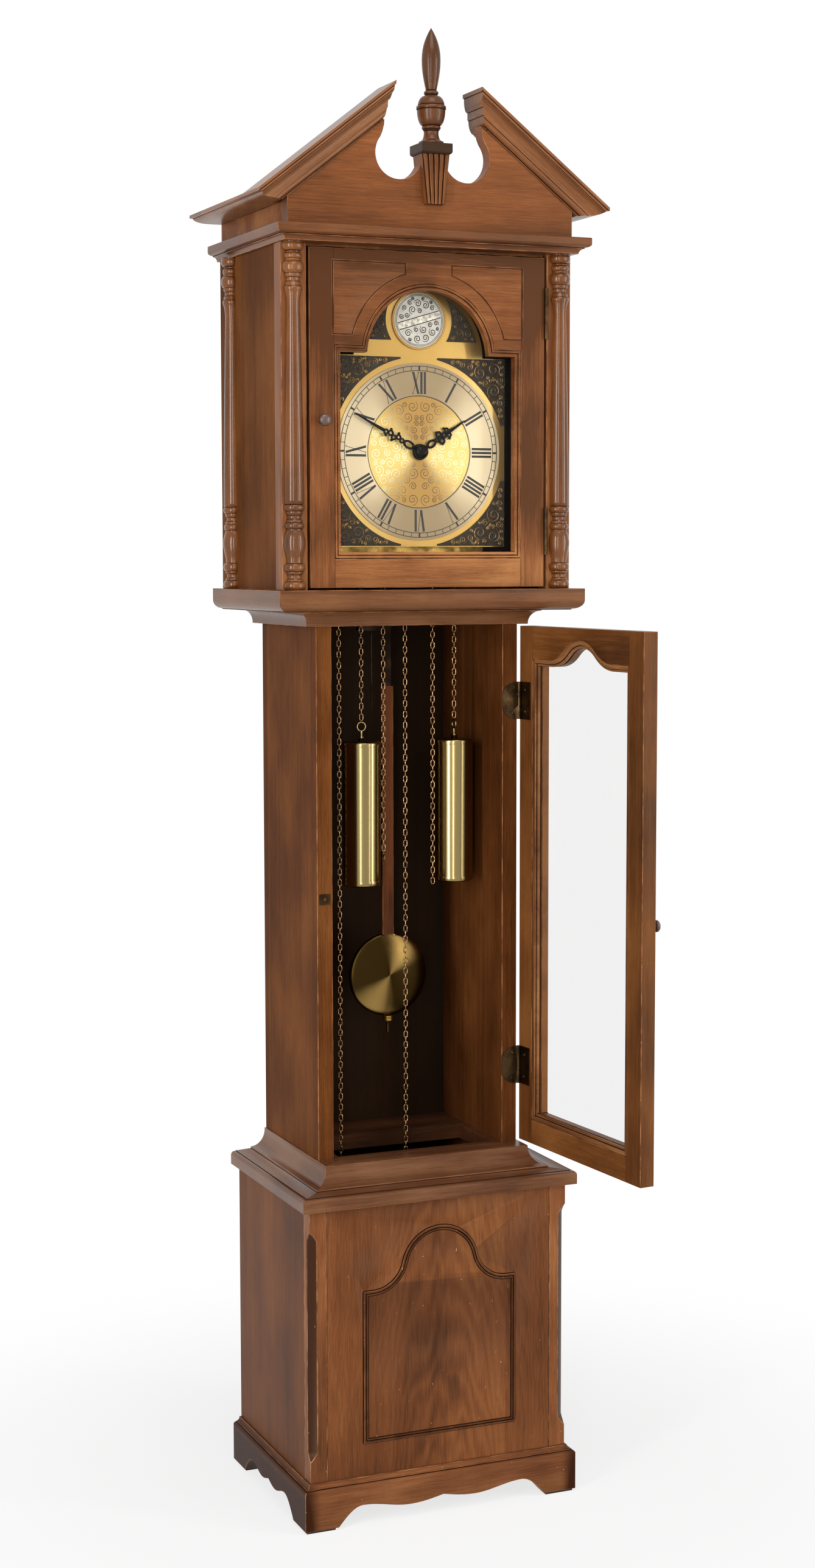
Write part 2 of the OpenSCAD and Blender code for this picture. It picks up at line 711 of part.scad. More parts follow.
module raking_cornice() {
    slope_len = (eaves_tip + 40) / cos(rake);
    intersection() {
        translate([eaves_tip, 0, eaves_top]) rotate([0, rake, 0])
            translate([40 - slope_len, -frieze_front, -rake_t]) rotate([90, 0, 90])
                linear_extrude(slope_len) polygon([for (p = rake_profile()) [-p[0], p[1]]]);
        front_shape(frieze_front + rake_reach - rake_depth - past, frieze_front + rake_reach + past)
            rake_silhouette();
    }
    front_shape(0, frieze_front + rake_reach - rake_depth)
        polygon(concat([[frieze_half - board, z_gable]], eaves_edge(),
            [[frieze_half - board, eaves_top]]));
}

module raking_cornices() color("#6f4326") at_wall()
    for (side = [0, 1]) mirror([side, 0, 0]) raking_cornice();

key_proud = 9;

module keystone() color("#7a4a2c") at_wall() {
    reeds = 5;
    pitch = 2 * key_bottom_half / reeds;
    front_shape(frieze_back, frieze_front + key_proud - 2) keystone_outline();
    for (i = [0:reeds - 1]) {
        low = -key_bottom_half + pitch * (i + 0.5);
        high = low * key_top_half / key_bottom_half;
        front_shape(frieze_front + key_proud - 2 - past, frieze_front + key_proud)
            polygon([[low - pitch * 0.32, key_bottom], [low + pitch * 0.32, key_bottom],
                [high + pitch * 0.5, key_top], [high - pitch * 0.5, key_top]]);
    }
}

block_height = 12;
block_half = 18.5;
finial_d = frieze_front - 5.6;

module finial_block() color("#33261f") at_wall() difference() {
    block([-block_half, block_half], [finial_d - block_half, finial_d + block_half],
        [key_top, key_top + block_height]);
    for (turn = [0:3]) translate([0, -finial_d, 0]) rotate([0, 0, 90 * turn])
        translate([block_half, 0, key_top]) rotate([0, 45, 0])
            cube([3, 3 * block_half, 3], center = true);
}

function finial_profile() =
    let (top = finial_height, widest = 0.48)
    concat([[0, 0], [13.4, 0], [14, 1.2], [14, 3]],
        [for (i = [0:6]) let (a = 90 * i / 6) [8.3 + 5.7 * (1 - sin(a)), 3 + 9.6 * (1 - cos(a))]],
        [[8.3, 15], [9.2, 16.4]],
        ring(9.2, 18.6, 1.6, 1.8),
        [[9.4, 20.6]],
        [for (i = [0:8]) let (a = 90 * i / 8) [9.6 + 6.4 * sin(a), 20.8 + 17.6 * (1 - cos(a))]],
        [[16.7, 39], [16.7, 41.8], [15, 43]],
        [for (i = [0:6]) let (a = 90 * i / 6) [7 + 8 * cos(a), 43 + 10.6 * sin(a)]],
        ring(6.8, 56.8, 1.5, 1.9),
        [[6, 59.4]],
        [for (i = [1:14])
            let (t = i / 14, taper = max(0, (t - widest) / (1 - widest)))
            [6 + 4.6 * sin(90 * min(1, t / widest)) - 10.6 * pow(taper, 2.2),
                59.4 + (top - 59.4) * t]],
        [[0, top]]);

module finial() color("#8a5530") at_wall()
    translate([0, -finial_d, key_top + block_height]) turned(finial_profile());

// Hood door

hood_door_half = hood_door_width / 2;
hood_door_bottom = z_hood + 2.3;
hood_door_top = z_cornice - 4.2;
hood_door_back = hood_depth - hood_door_t;
window_bottom = z_hood + window_sill;
window_arch_z = z_hood + window_shoulder - 11.5;

// Window outline, drawn smaller by inset
module window_outline(inset) {
    half = window_half - inset;
    low = window_bottom + inset;
    high = z_hood + window_shoulder - inset;
    translate([-half, low]) square([2 * half, high - low]);
    translate([0, window_arch_z]) circle(r = window_arch_r - inset, $fn = 96);
}

// Panel line in an upper corner of the hood door, drawn smaller by inset
corner_x = [27.7, window_half + 2.1];
corner_z = [z_hood + window_shoulder + 10.9, hood_door_top - 12.9];

module corner_panel(inset) difference() {
    translate([corner_x[0] + inset, corner_z[0] + inset])
        square([corner_x[1] - corner_x[0] - 2 * inset, corner_z[1] - corner_z[0] - 2 * inset]);
    translate([0, window_arch_z]) circle(r = window_arch_r + 13 + inset, $fn = 96);
}

glass_front = hood_depth - 11;

module hood_door_frame() color("#7a4a2c") at_wall() {
    lip = 1.6;
    line = 1.6;
    difference() {
        block([-hood_door_half, hood_door_half], [hood_door_back, hood_depth],
            [hood_door_bottom, hood_door_top]);
        front_shape(hood_door_back - past, hood_depth + past) window_outline(window_edge);
        front_shape(hood_door_back - past, glass_front) window_outline(window_edge - rebate);
        front_shape(hood_depth - lip, hood_depth + past) window_outline(0);
        for (side = [0, 1]) mirror([side, 0, 0])
            front_shape(hood_depth - 1, hood_depth + past) difference() {
                corner_panel(0);
                corner_panel(line);
            }
    }
    front_shape(hood_depth - lip - past, hood_depth + 0.6) difference() {
        window_outline(0.8);
        window_outline(3);
    }
    front_shape(hood_depth - lip - past, hood_depth - 0.5) difference() {
        window_outline(4.2);
        window_outline(window_edge);
    }
}

module hood_door_glass() color("#dfe8ea", 0.3) at_wall()
    front_shape(glass_front - glass_t, glass_front) window_outline(window_edge - rebate + gap);

hood_knob_z = z_hood + hood_knob_height;
hood_knob_x = -(hood_door_half + window_half) / 2;

function knob_profile(r, length) =
    concat([[0, 0], [r * 0.62, 0], [r * 0.62, length * 0.12], [r * 0.42, length * 0.3],
            [r * 0.4, length * 0.48]],
        [for (i = [0:8]) let (a = -60 + 150 * i / 8)
            [r * cos(a) * 0.98 + 0.1, length * 0.72 + length * 0.28 * sin(a)]],
        [[0, length]]);

module hood_door_knob() color("#3a2a20") at_wall()
    translate([hood_knob_x, -hood_depth, hood_knob_z]) rotate([90, 0, 0])
        turned(knob_profile(7, 14));

// Hinge line of the hood door, in front of the gap beside its edge
slim_r = 2.2;
slim_leaf_t = 1.1;
hood_pivot_x = hood_door_half + 1.6;
hood_pivot_d = hood_depth + slim_r;
hood_hinges = [[z_hood + 39.3, z_hood + 93.3], [z_hood + 286.3, z_hood + 344.3]];

module slim_leaf(x, h) block([x, x + slim_leaf_t], [hood_depth - 18, hood_pivot_d], h);

module hood_hinge_leaves() color("#6e5430") at_wall()
    for (h = hood_hinges) {
        third = (h[1] - h[0]) / 3;
        translate([hood_pivot_x, -hood_pivot_d, 0]) fixed_knuckles(slim_r, h[0], h[1]);
        difference() {
            slim_leaf(frame_inner - slim_leaf_t, h);
            translate([hood_pivot_x, -hood_pivot_d, 0])
                knuckle_space(slim_r, h[0] + third, h[1] - third);
        }
    }

module hood_door_hinges() color("#6e5430") at_wall()
    for (h = hood_hinges) {
        third = (h[1] - h[0]) / 3;
        translate([hood_pivot_x, -hood_pivot_d, 0]) swinging_knuckle(slim_r, h[0], h[1]);
        difference() {
            slim_leaf(hood_door_half, h);
            translate([hood_pivot_x, -hood_pivot_d, 0]) {
                knuckle_space(slim_r, h[0] - past, h[0] + third + gap);
                knuckle_space(slim_r, h[1] - third - gap, h[1] + past);
                translate([0, 0, h[0]]) cylinder(r = slim_r - 0.3, h = h[1] - h[0]);
            }
        }
    }

// Trunk door, drawn closed and swung open about its hinge line

module trunk_door_placed() at_wall()
    translate([trunk_pivot_x, -trunk_pivot_d, 0]) rotate([0, 0, door_open])
        translate([-trunk_pivot_x, trunk_pivot_d, 0]) children();

module trunk_door_outline(inset)
    polygon(shouldered(door_half - door_stile, door_bottom + door_stile,
        door_top - door_top_rail, door_arch_rise, 66, 50, inset));

door_glass_d = door_back + 9;

module trunk_door_frame() color("#6f4326") trunk_door_placed() difference() {
    block([-door_half, door_half], [door_back, door_front], [door_bottom, door_top]);
    front_shape(door_back - past, door_front + past) trunk_door_outline(rebate);
    front_shape(door_back - past, door_glass_d) trunk_door_outline(0);
}

module trunk_door_glass() color("#dfe8ea", 0.3) trunk_door_placed()
    front_shape(door_glass_d - glass_t, door_glass_d) trunk_door_outline(gap);

module trunk_door_beads() color("#8a5a36") trunk_door_placed() {
    face = door_glass_d - glass_t;
    front_shape(face - 2.5, face) difference() {
        trunk_door_outline(gap);
        trunk_door_outline(rebate);
    }
    front_shape(face - 5, face - 2.5) difference() {
        trunk_door_outline(gap);
        trunk_door_outline(rebate * 0.6);
    }
}

trunk_knob_z = z_trunk + trunk_knob_height;

module trunk_door_knob() color("#3a2a20") trunk_door_placed()
    translate([door_stile / 2 - door_half, -door_front, trunk_knob_z]) rotate([90, 0, 0])
        turned(knob_profile(7, 14));

module trunk_door_hinges() color("#6e5430") trunk_door_placed()
    for (h = trunk_hinges) {
        third = (h[1] - h[0]) / 3;
        leaf = 22;
        translate([trunk_pivot_x, -trunk_pivot_d, 0]) swinging_knuckle(barrel_r, h[0], h[1]);
        difference() {
            union() {
                block([trunk_pivot_x - leaf, trunk_pivot_x - barrel_r - gap],
                    [door_back - hinge_leaf_t, door_back], h);
                block([trunk_pivot_x - leaf, trunk_pivot_x],
                    [door_back - hinge_leaf_t, door_back], [h[0] + third + gap, h[1] - third - gap]);
            }
            translate([trunk_pivot_x, -trunk_pivot_d, h[0]])
                cylinder(r = barrel_r - 0.3, h = h[1] - h[0]);
        }
    }

// Seat board and movement

wheel_z = seat_top + wheel_rise;
wheel_x = [-61, -5, 58.5];
pivot_z = seat_top + pivot_rise;
plate_t = 3;
plate_half = 92;
pillar_inset = 8;
plate_top = pivot_z + 14;
dial_z = z_hood + dial_centre_height;
arbor_r = 2.5;
pivot_clearance = 0.06;
crutch_slot = 26;
seat_back = pendulum_depth - 26;

module seat_board() color("#6b4128") at_wall() difference() {
    block([-trunk_half, trunk_half], [seat_back, trunk_depth - 10], [seat_z, seat_top]);
    block([-crutch_slot, crutch_slot], [seat_back - past, plate_back - 1],
        [seat_z - past, seat_top + past]);
    for (x = wheel_x)
        block([x - wheel_r - 5, x + wheel_r + 5], [chain_depth - 6, chain_depth + 6],
            [seat_z - past, seat_top + past]);
}

escape_z = pivot_z - 21;
crutch_length = 91;

module movement_plate(d) difference() {
    block([-plate_half, plate_half], [d, d + plate_t], [seat_top, plate_top]);
    depth_rod(0, dial_z, arbor_r + pivot_clearance, d - past, d + plate_t + past);
    depth_rod(0, escape_z, 1.5 + pivot_clearance, d - past, d + plate_t + past);
    depth_rod(0, pivot_z, 1.5 + pivot_clearance, d - past, d + plate_t + past);
    for (x = wheel_x)
        depth_rod(x, wheel_z, arbor_r + pivot_clearance, d - past, d + plate_t + past);
}

module movement_frame() color("#c9a24f") at_wall() {
    movement_plate(plate_back);
    movement_plate(plate_front - plate_t);
    for (x = [pillar_inset - plate_half, plate_half - pillar_inset],
            z = [seat_top + pillar_inset, plate_top - pillar_inset])
        depth_rod(x, z, 4, plate_back + plate_t, plate_front - plate_t);
}

// Iron block under the seat board with the gong's rod hanging from it
gong_x = -26;
gong_d = chain_depth - 19.5;

module gong() color("#8f8f8c") at_wall() {
    block([gong_x - 17, gong_x + 9], [gong_d - 6, gong_d + 6], [seat_z - 70, seat_z]);
    translate([gong_x, -gong_d, seat_z - 164]) cylinder(r = 1, h = 100);
}

// Dial

module dial_plate() color("#c8a867") at_wall() {
    front_shape(dial_depth - plate_sheet, dial_depth) difference() {
        union() {
            translate([-dial_width / 2, dial_z - dial_width / 2]) square(dial_width);
            translate([0, dial_z + dial_width / 2]) circle(r = dial_arch_r, $fn = 96);
        }
        translate([0, dial_z]) circle(r = 6.5);
    }
    for (x = [-62, 62], z = [-62, 62])
        depth_rod(x, dial_z + z, 3, plate_front, dial_depth - plate_sheet + 0.5);
}

chapter_t = 1.2;

module chapter_ring() color("#d9d3c0") at_wall()
    front_shape(dial_depth, dial_depth + chapter_t) translate([0, dial_z]) difference() {
        circle(r = chapter_r, $fn = 96);
        circle(r = chapter_inner_r, $fn = 96);
    }

boss_z = dial_z + boss_rise;

module dial_discs() color("#d2b36c") at_wall() {
    front_shape(dial_depth, dial_depth + 0.6) translate([0, dial_z]) difference() {
        circle(r = chapter_inner_r - 0.2, $fn = 96);
        circle(r = 6.5);
    }
    front_shape(dial_depth, dial_depth + 1.4) translate([0, boss_z]) circle(r = boss_r, $fn = 96);
    front_shape(dial_depth, dial_depth + 2) translate([0, boss_z]) difference() {
        circle(r = boss_r, $fn = 96);
        circle(r = boss_r - 2.5, $fn = 96);
    }
}

// Cast ornaments in the four corners and on both sides of the disc in the arch
spandrel_t = 1.6;
spandrel_ring = 6.5;
spandrel_tip = 23;

module spandrels() color("#4a3b22") at_wall() {
    edge = dial_width / 2 - 1;
    for (sx = [0, 1], sz = [0, 1])
        front_shape(dial_depth, dial_depth + spandrel_t) translate([0, dial_z])
            mirror([sx, 0]) mirror([0, sz]) difference() {
                translate([spandrel_tip, spandrel_tip + 9])
                    square([edge - spandrel_tip, edge - spandrel_tip - 9]);
                circle(r = chapter_r + spandrel_ring, $fn = 96);
            }
    for (sx = [0, 1])
        front_shape(dial_depth, dial_depth + spandrel_t) mirror([sx, 0]) difference() {
            intersection() {
                translate([0, dial_z + dial_width / 2]) circle(r = dial_arch_r - spandrel_ring, $fn = 96);
                translate([spandrel_tip, boss_z - spandrel_tip]) square([60, 60]);
            }
            translate([0, boss_z]) circle(r = boss_r + spandrel_ring + 1.5, $fn = 96);
        }
}

// Hands

// An upright oval, by its centre's height and its two radii
function oval(z, rx, rz, n = 20) =
    [for (i = [0:n - 1]) let (a = 360 * i / n) [rx * cos(a), z + rz * sin(a)]];

// Serpentine hands, drawn pointing to twelve: rings along a stem that ends in a long point
module ring_chain(rings) difference() {
    children();
    for (r = rings) translate([r[0], r[1]]) circle(r = r[2] * 0.54, $fn = 20);
}

module hand_point(length, foot, half)
    polygon([[-half, foot], [half, foot], [0.35, length], [-0.35, length]]);

minute_rings = [[0, 26.5, 2.9], [1.5, 32, 3.1], [-1.5, 37.2, 3.1], [1.2, 42.8, 3.4], [0, 48.6, 3]];
minute_buds = [[5.4, 33.5], [-5.4, 38.2], [5.2, 44], [-3.6, 47]];

module minute_outline() ring_chain(minute_rings) {
    circle(r = 8);
    translate([-1.5, 0]) square([3, 12]);
    difference() {
        polygon(oval(16.8, 4.6, 7.6));
        polygon(oval(17, 2.7, 5));
    }
    for (r = minute_rings) translate([r[0], r[1]]) circle(r = r[2], $fn = 24);
    for (b = minute_buds) translate(b) circle(r = 1.3, $fn = 16);
    hand_point(minute_length, 50.5, 1.7);
}

hour_rings = [[0, 25.5, 2.8], [-4.2, 30.3, 3.8], [4.2, 30.3, 3.8], [0, 36, 3.6], [-3.2, 41.5, 2.9],
    [3.2, 41.5, 2.9]];
hour_buds = [[-7.6, 29], [7.6, 29], [-6.6, 39.6], [6.6, 39.6]];

module hour_outline() ring_chain(hour_rings) {
    circle(r = 9);
    translate([-1.6, 0]) square([3.2, 12]);
    difference() {
        polygon(oval(17, 4.4, 6.8));
        polygon(oval(17.2, 2.5, 4.3));
    }
    for (r = hour_rings) translate([r[0], r[1]]) circle(r = r[2], $fn = 24);
    for (b = hour_buds) translate(b) circle(r = 1.2, $fn = 16);
    hand_point(hour_length, 43, 2);
}

hour_hand_d = dial_depth + 2.6;
minute_hand_d = dial_depth + 5;
hand_t = 1.2;
pipe_r = 4.2;
boss_cap_r = 8.2;

module hour_hand() color("#1d1b1a") at_wall() difference() {
    union() {
        translate([0, 0, dial_z]) rotate([0, hour_angle, 0])
            front_shape(hour_hand_d, hour_hand_d + hand_t) hour_outline();
        depth_rod(0, dial_z, pipe_r, plate_front + 1, hour_hand_d + hand_t);
    }
    depth_rod(0, dial_z, arbor_r + pivot_clearance, plate_front, minute_hand_d + past);
}

// The minute hand on the centre arbor, under a domed cap
module minute_hand() color("#1d1b1a") at_wall() {
    translate([0, 0, dial_z]) rotate([0, minute_angle, 0])
        front_shape(minute_hand_d, minute_hand_d + hand_t) minute_outline();
    depth_rod(0, dial_z, arbor_r, plate_back - 1, minute_hand_d + 4);
    translate([0, -minute_hand_d - hand_t, dial_z]) rotate([90, 0, 0])
        turned(concat([[0, 0], [boss_cap_r, 0]],
            [for (i = [0:8]) let (a = 90 * i / 8) [boss_cap_r * cos(a), 1 + 6 * sin(a)]]));
    depth_rod(0, dial_z, 17, plate_back + 44, plate_back + 46);
}

// Escapement, with its wheel and pallets in one plane
escape_d = plate_back + 32;
escape_t = 1.5;
escape_r = 15;

module escape_wheel() color("#c9a24f") at_wall() {
    teeth = 30;
    tip_r = escape_r;
    root_r = 12;
    front_shape(escape_d, escape_d + escape_t) translate([0, escape_z]) difference() {
        polygon([for (i = [0:teeth - 1], p = [0, 1, 2])
            let (a = 360 / teeth * (i + 0.5 + [0, 0.12, 0.5][p]), r = [tip_r, tip_r, root_r][p])
            r * [cos(a), sin(a)]]);
        for (i = [0:3]) rotate(45 + 90 * i) translate([6.6, 0]) circle(r = 3.2);
    }
    depth_rod(0, escape_z, 1.5, plate_back, plate_front);
    depth_rod(0, escape_z, 3, escape_d + 3, escape_d + 12);
}

module anchor() color("#8f8f8c") at_wall() {
    front_shape(escape_d, escape_d + escape_t) difference() {
        union() {
            translate([0, pivot_z]) circle(r = 4);
            for (s = [-1, 1]) translate([0, pivot_z]) polygon([[0, 2.5], [s * 15.5, -8], [s * 13.6, -12],
                [s * 11.6, -10.6], [s * 11.6, -7.4], [0, -3.5]]);
        }
        translate([0, escape_z]) circle(r = escape_r + 0.9);
    }
    depth_rod(0, pivot_z, 1.5, pendulum_depth - 6, plate_front);
    foot = [pivot_z - crutch_length - 3, pivot_z - crutch_length + 3];
    arm = [plate_back - 4, plate_back - 2];
    fork = hanger_width / 2 + 1.5;
    block([-2, 2], arm, [foot[0] + 2, pivot_z + 2]);
    for (s = [-1, 1])
        block([s * fork - 1, s * fork + 1], [pendulum_depth - 4, arm[1]], foot);
    block([-fork - 1, fork + 1], arm, foot);
}

// Pendulum

bob_z = pivot_z - pendulum_length;
rod_top = pivot_z - hanger_length;
rod_t = 5;
hanger_t = 3;

module pendulum_hanger() color("#4a4a4c") at_wall()
    front_shape(pendulum_depth - hanger_t / 2, pendulum_depth + hanger_t / 2) difference() {
        polygon([[-hanger_width / 2, rod_top - hanger_lap], [hanger_width / 2, rod_top - hanger_lap],
            [hanger_width / 2 - 1, pivot_z + 8], [1 - hanger_width / 2, pivot_z + 8]]);
        translate([0, pivot_z]) circle(r = 1.5 + pivot_clearance);
    }

module pendulum_rod() color("#7a4a2c") at_wall() {
    slot = hanger_t / 2;
    difference() {
        block([-rod_width / 2, rod_width / 2], [pendulum_depth - rod_t / 2, pendulum_depth + rod_t / 2],
            [bob_z - bob_r + 2, rod_top]);
        block([-hanger_width / 2, hanger_width / 2], [pendulum_depth - slot, pendulum_depth + slot],
            [rod_top - hanger_lap, rod_top + past]);
        block([-rod_width, rod_width], [pendulum_depth - rod_t, pendulum_depth + rod_t],
            [bob_z - bob_r, bob_z + bob_r - 3]);
    }
}

module pendulum_bob() color("#b9954a") at_wall() {
    edge = 2.5;
    bulge = bob_t / 2 - edge / 2;
    translate([0, -pendulum_depth, bob_z]) rotate([90, 0, 0]) difference() {
        turned(concat([[0, -bob_t / 2]],
            [for (i = [1:10]) let (t = i / 10) [bob_r * sin(90 * t), -edge / 2 - bulge * cos(90 * t)]],
            [for (i = [10:-1:1]) let (t = i / 10) [bob_r * sin(90 * t), edge / 2 + bulge * cos(90 * t)]],
            [[0, bob_t / 2]]), $fn = 96);
        translate([0, bob_r - 1.5, 0]) cube([rod_width, 3.02, rod_t], center = true);
    }
    translate([0, -pendulum_depth, bob_z - bob_r - stem_length])
        cylinder(r = stem_r, h = stem_length + 5);
}

stem_r = 1.6;
stem_length = 20;
nut_height = 6;

module rating_nut() color("#b9954a") at_wall()
    translate([0, -pendulum_depth, bob_z - bob_r - gap - nut_height]) difference() {
        cylinder(r = 6, h = nut_height);
        translate([0, 0, -past]) cylinder(r = stem_r + pivot_clearance, h = nut_height + 2 * past);
    }

// Chain wheels, weights and chains

module chain_wheel(x) {
    depth_rod(x, wheel_z, arbor_r, plate_back, plate_front);
    groove = 3;
    flange = 1.6;
    translate([x, -chain_depth, wheel_z]) rotate([90, 0, 0])
        turned([[0, -groove - flange], [wheel_r + 2.5, -groove - flange], [wheel_r + 2.5, -groove],
            [wheel_r - link_width / 2 - 0.4, -groove + 1], [wheel_r - link_width / 2 - 0.4, groove - 1],
            [wheel_r + 2.5, groove], [wheel_r + 2.5, groove + flange], [0, groove + flange]]);
    depth_rod(x, wheel_z, 24, chain_depth + 9, chain_depth + 11);
}

module chain_wheel_left() color("#c9a24f") at_wall() chain_wheel(wheel_x[0]);
module chain_wheel_centre() color("#c9a24f") at_wall() chain_wheel(wheel_x[1]);
module chain_wheel_right() color("#c9a24f") at_wall() chain_wheel(wheel_x[2]);

left_weight_x = wheel_x[0] + wheel_r;
left_free_x = wheel_x[0] - wheel_r;
centre_hook_x = wheel_x[1] - wheel_r;
centre_free_x = wheel_x[1] + wheel_r;
right_free_x = wheel_x[2] - wheel_r;
right_weight_x = wheel_x[2] + wheel_r;

shell_top = wheel_z - weight_drop;
eye_r = 5.2;
eye_z = shell_top + 17;
eye_wire = 1;

// A shell with turned ends, a threaded stem and an eye for the chain
module weight(x, turn) translate([x, -chain_depth, 0]) {
    translate([0, 0, shell_top - weight_length])
        turned([[0, 0], [weight_r - 2, 0], [weight_r, 2], [weight_r, 6], [weight_r - 0.5, 6.6],
            [weight_r - 0.5, weight_length - 6.6], [weight_r, weight_length - 6],
            [weight_r, weight_length - 2], [weight_r - 2, weight_length], [0, weight_length]], $fn = 64);
    translate([0, 0, shell_top - past]) cylinder(r = 4, h = 5 + past);
    translate([0, 0, shell_top]) cylinder(r = 1.6, h = eye_z - shell_top - eye_r + eye_wire / 2);
    translate([0, 0, eye_z]) rotate([90, 0, turn])
        rotate_extrude() translate([eye_r, 0]) circle(r = eye_wire, $fn = 16);
}

module weight_left() color("#c2a055") at_wall() weight(left_weight_x, 0);
module weight_right() color("#c2a055") at_wall() weight(right_weight_x, 90);

hook_z = wheel_z - hook_drop;

module centre_hook() color("#7d6a50") at_wall() translate([centre_hook_x, -chain_depth, hook_z]) {
    translate([0, 0, -3.4]) rotate([90, 0, 90])
        rotate_extrude(angle = 250) translate([3.4, 0]) circle(r = 0.7, $fn = 16);
    translate([0, 0, -0.7]) cylinder(r = 0.7, h = 5);
}

// Room that a link has inside the bend of the next one, over both ends
link_play = 0.5;
link_side = link_pitch + link_play - (link_width - 2 * link_wire);

module link_outline(r) {
    translate([-r, -link_side / 2]) square([2 * r, link_side]);
    for (end = [-1, 1]) translate([0, end * link_side / 2]) circle(r = r, $fn = 16);
}

// A long link with straight sides, about its middle
module link() front_shape(-link_wire / 2, link_wire / 2) difference() {
    link_outline(link_width / 2);
    link_outline(link_width / 2 - link_wire);
}

// A strand of links from the given height up to its wheel, each turned a quarter to the last
module strand(x, bottom) {
    half = (link_side + link_width) / 2;
    count = floor((wheel_z - bottom - 2 * half) / link_pitch) + 1;
    for (i = [0:count - 1]) translate([x, -chain_depth, bottom + half + i * link_pitch])
        rotate([0, 0, 45 + 90 * (i % 2)]) link();
}

strand_foot = eye_z + eye_r + eye_wire + gap;

module chain_left_weight() color("#8a6a45") at_wall() strand(left_weight_x, strand_foot);
module chain_left_free() color("#8a6a45") at_wall() strand(left_free_x, wheel_z - left_free_drop);
module chain_centre_hook() color("#8a6a45") at_wall() strand(centre_hook_x, hook_z + 4.3 + gap);
module chain_centre_free() color("#8a6a45") at_wall()
    strand(centre_free_x, wheel_z - centre_free_drop);
module chain_right_weight() color("#8a6a45") at_wall() strand(right_weight_x, strand_foot);
module chain_right_free() color("#8a6a45") at_wall() strand(right_free_x, wheel_z - right_free_drop);

foot_pads();
plinth();
base_carcass();
base_stiles();
base_panel();
back_board();
waist_moulding();
trunk_sides();
trunk_floor();
hood_moulding();
hood_sides();
hood_front_frame();
columns();
hood_top_board();
cornice();
frieze_sides();
tympanum();
raking_cornices();
keystone();
finial_block();
finial();
seat_board();
movement_frame();
gong();
dial_plate();
chapter_ring();
dial_discs();
spandrels();
catch_plate();
trunk_hinge_leaves();
hood_hinge_leaves();
hood_door_frame();
hood_door_glass();
hood_door_knob();
hood_door_hinges();
trunk_door_frame();
trunk_door_glass();
trunk_door_beads();
trunk_door_knob();
trunk_door_hinges();
pendulum_hanger();
pendulum_rod();
pendulum_bob();
rating_nut();
minute_hand();
hour_hand();
anchor();
escape_wheel();
chain_wheel_left();
chain_wheel_centre();
chain_wheel_right();
weight_left();
weight_right();
centre_hook();
chain_left_weight();
chain_left_free();
chain_centre_hook();
chain_centre_free();
chain_right_weight();
chain_right_free();
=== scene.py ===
import json
import math
import random
import bmesh
import bpy
from mathutils import Matrix, Vector

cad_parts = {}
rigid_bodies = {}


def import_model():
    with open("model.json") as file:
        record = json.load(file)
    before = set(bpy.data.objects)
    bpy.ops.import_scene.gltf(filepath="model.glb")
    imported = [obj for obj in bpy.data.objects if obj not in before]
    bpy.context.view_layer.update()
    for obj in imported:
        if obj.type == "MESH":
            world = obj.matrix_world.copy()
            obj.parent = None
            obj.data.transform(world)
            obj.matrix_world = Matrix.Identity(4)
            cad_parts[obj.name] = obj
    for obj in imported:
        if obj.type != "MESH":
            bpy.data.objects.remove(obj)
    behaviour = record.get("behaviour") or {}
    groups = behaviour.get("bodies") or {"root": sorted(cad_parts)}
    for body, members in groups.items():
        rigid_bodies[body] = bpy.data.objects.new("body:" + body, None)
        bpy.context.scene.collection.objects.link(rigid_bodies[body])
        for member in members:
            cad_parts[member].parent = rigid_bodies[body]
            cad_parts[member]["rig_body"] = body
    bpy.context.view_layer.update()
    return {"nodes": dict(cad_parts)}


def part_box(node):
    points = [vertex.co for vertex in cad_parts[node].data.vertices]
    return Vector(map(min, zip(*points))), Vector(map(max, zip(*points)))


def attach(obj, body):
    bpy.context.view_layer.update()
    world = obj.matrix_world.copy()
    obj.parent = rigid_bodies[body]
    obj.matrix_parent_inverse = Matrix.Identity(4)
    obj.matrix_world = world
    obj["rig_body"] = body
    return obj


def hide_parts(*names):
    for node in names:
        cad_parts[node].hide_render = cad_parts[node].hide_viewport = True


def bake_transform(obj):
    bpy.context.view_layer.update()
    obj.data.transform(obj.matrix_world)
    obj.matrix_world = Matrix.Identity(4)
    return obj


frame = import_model()

# Base of the case: bracket plinth, side boards, corner stiles and back board.
# Stained and lacquered hardwood boards, glued up from strips, with eased arrises;
# the mouldings are planed in lengths and mitred at the front corners.

WALL_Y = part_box("back_board")[1].y


def tint(code):
    """A colour from its web code, as shaders want it."""
    levels = [int(code[i:i + 2], 16) / 255 for i in (1, 3, 5)]
    return [c / 12.92 if c < 0.04045 else ((c + 0.055) / 1.055) ** 2.4 for c in levels] + [1]


def place(x, depth, z):
    """A point from its millimetres: across, forward from the wall, and above the floor."""
    return Vector((x / 1000, WALL_Y - depth / 1000, z / 1000))


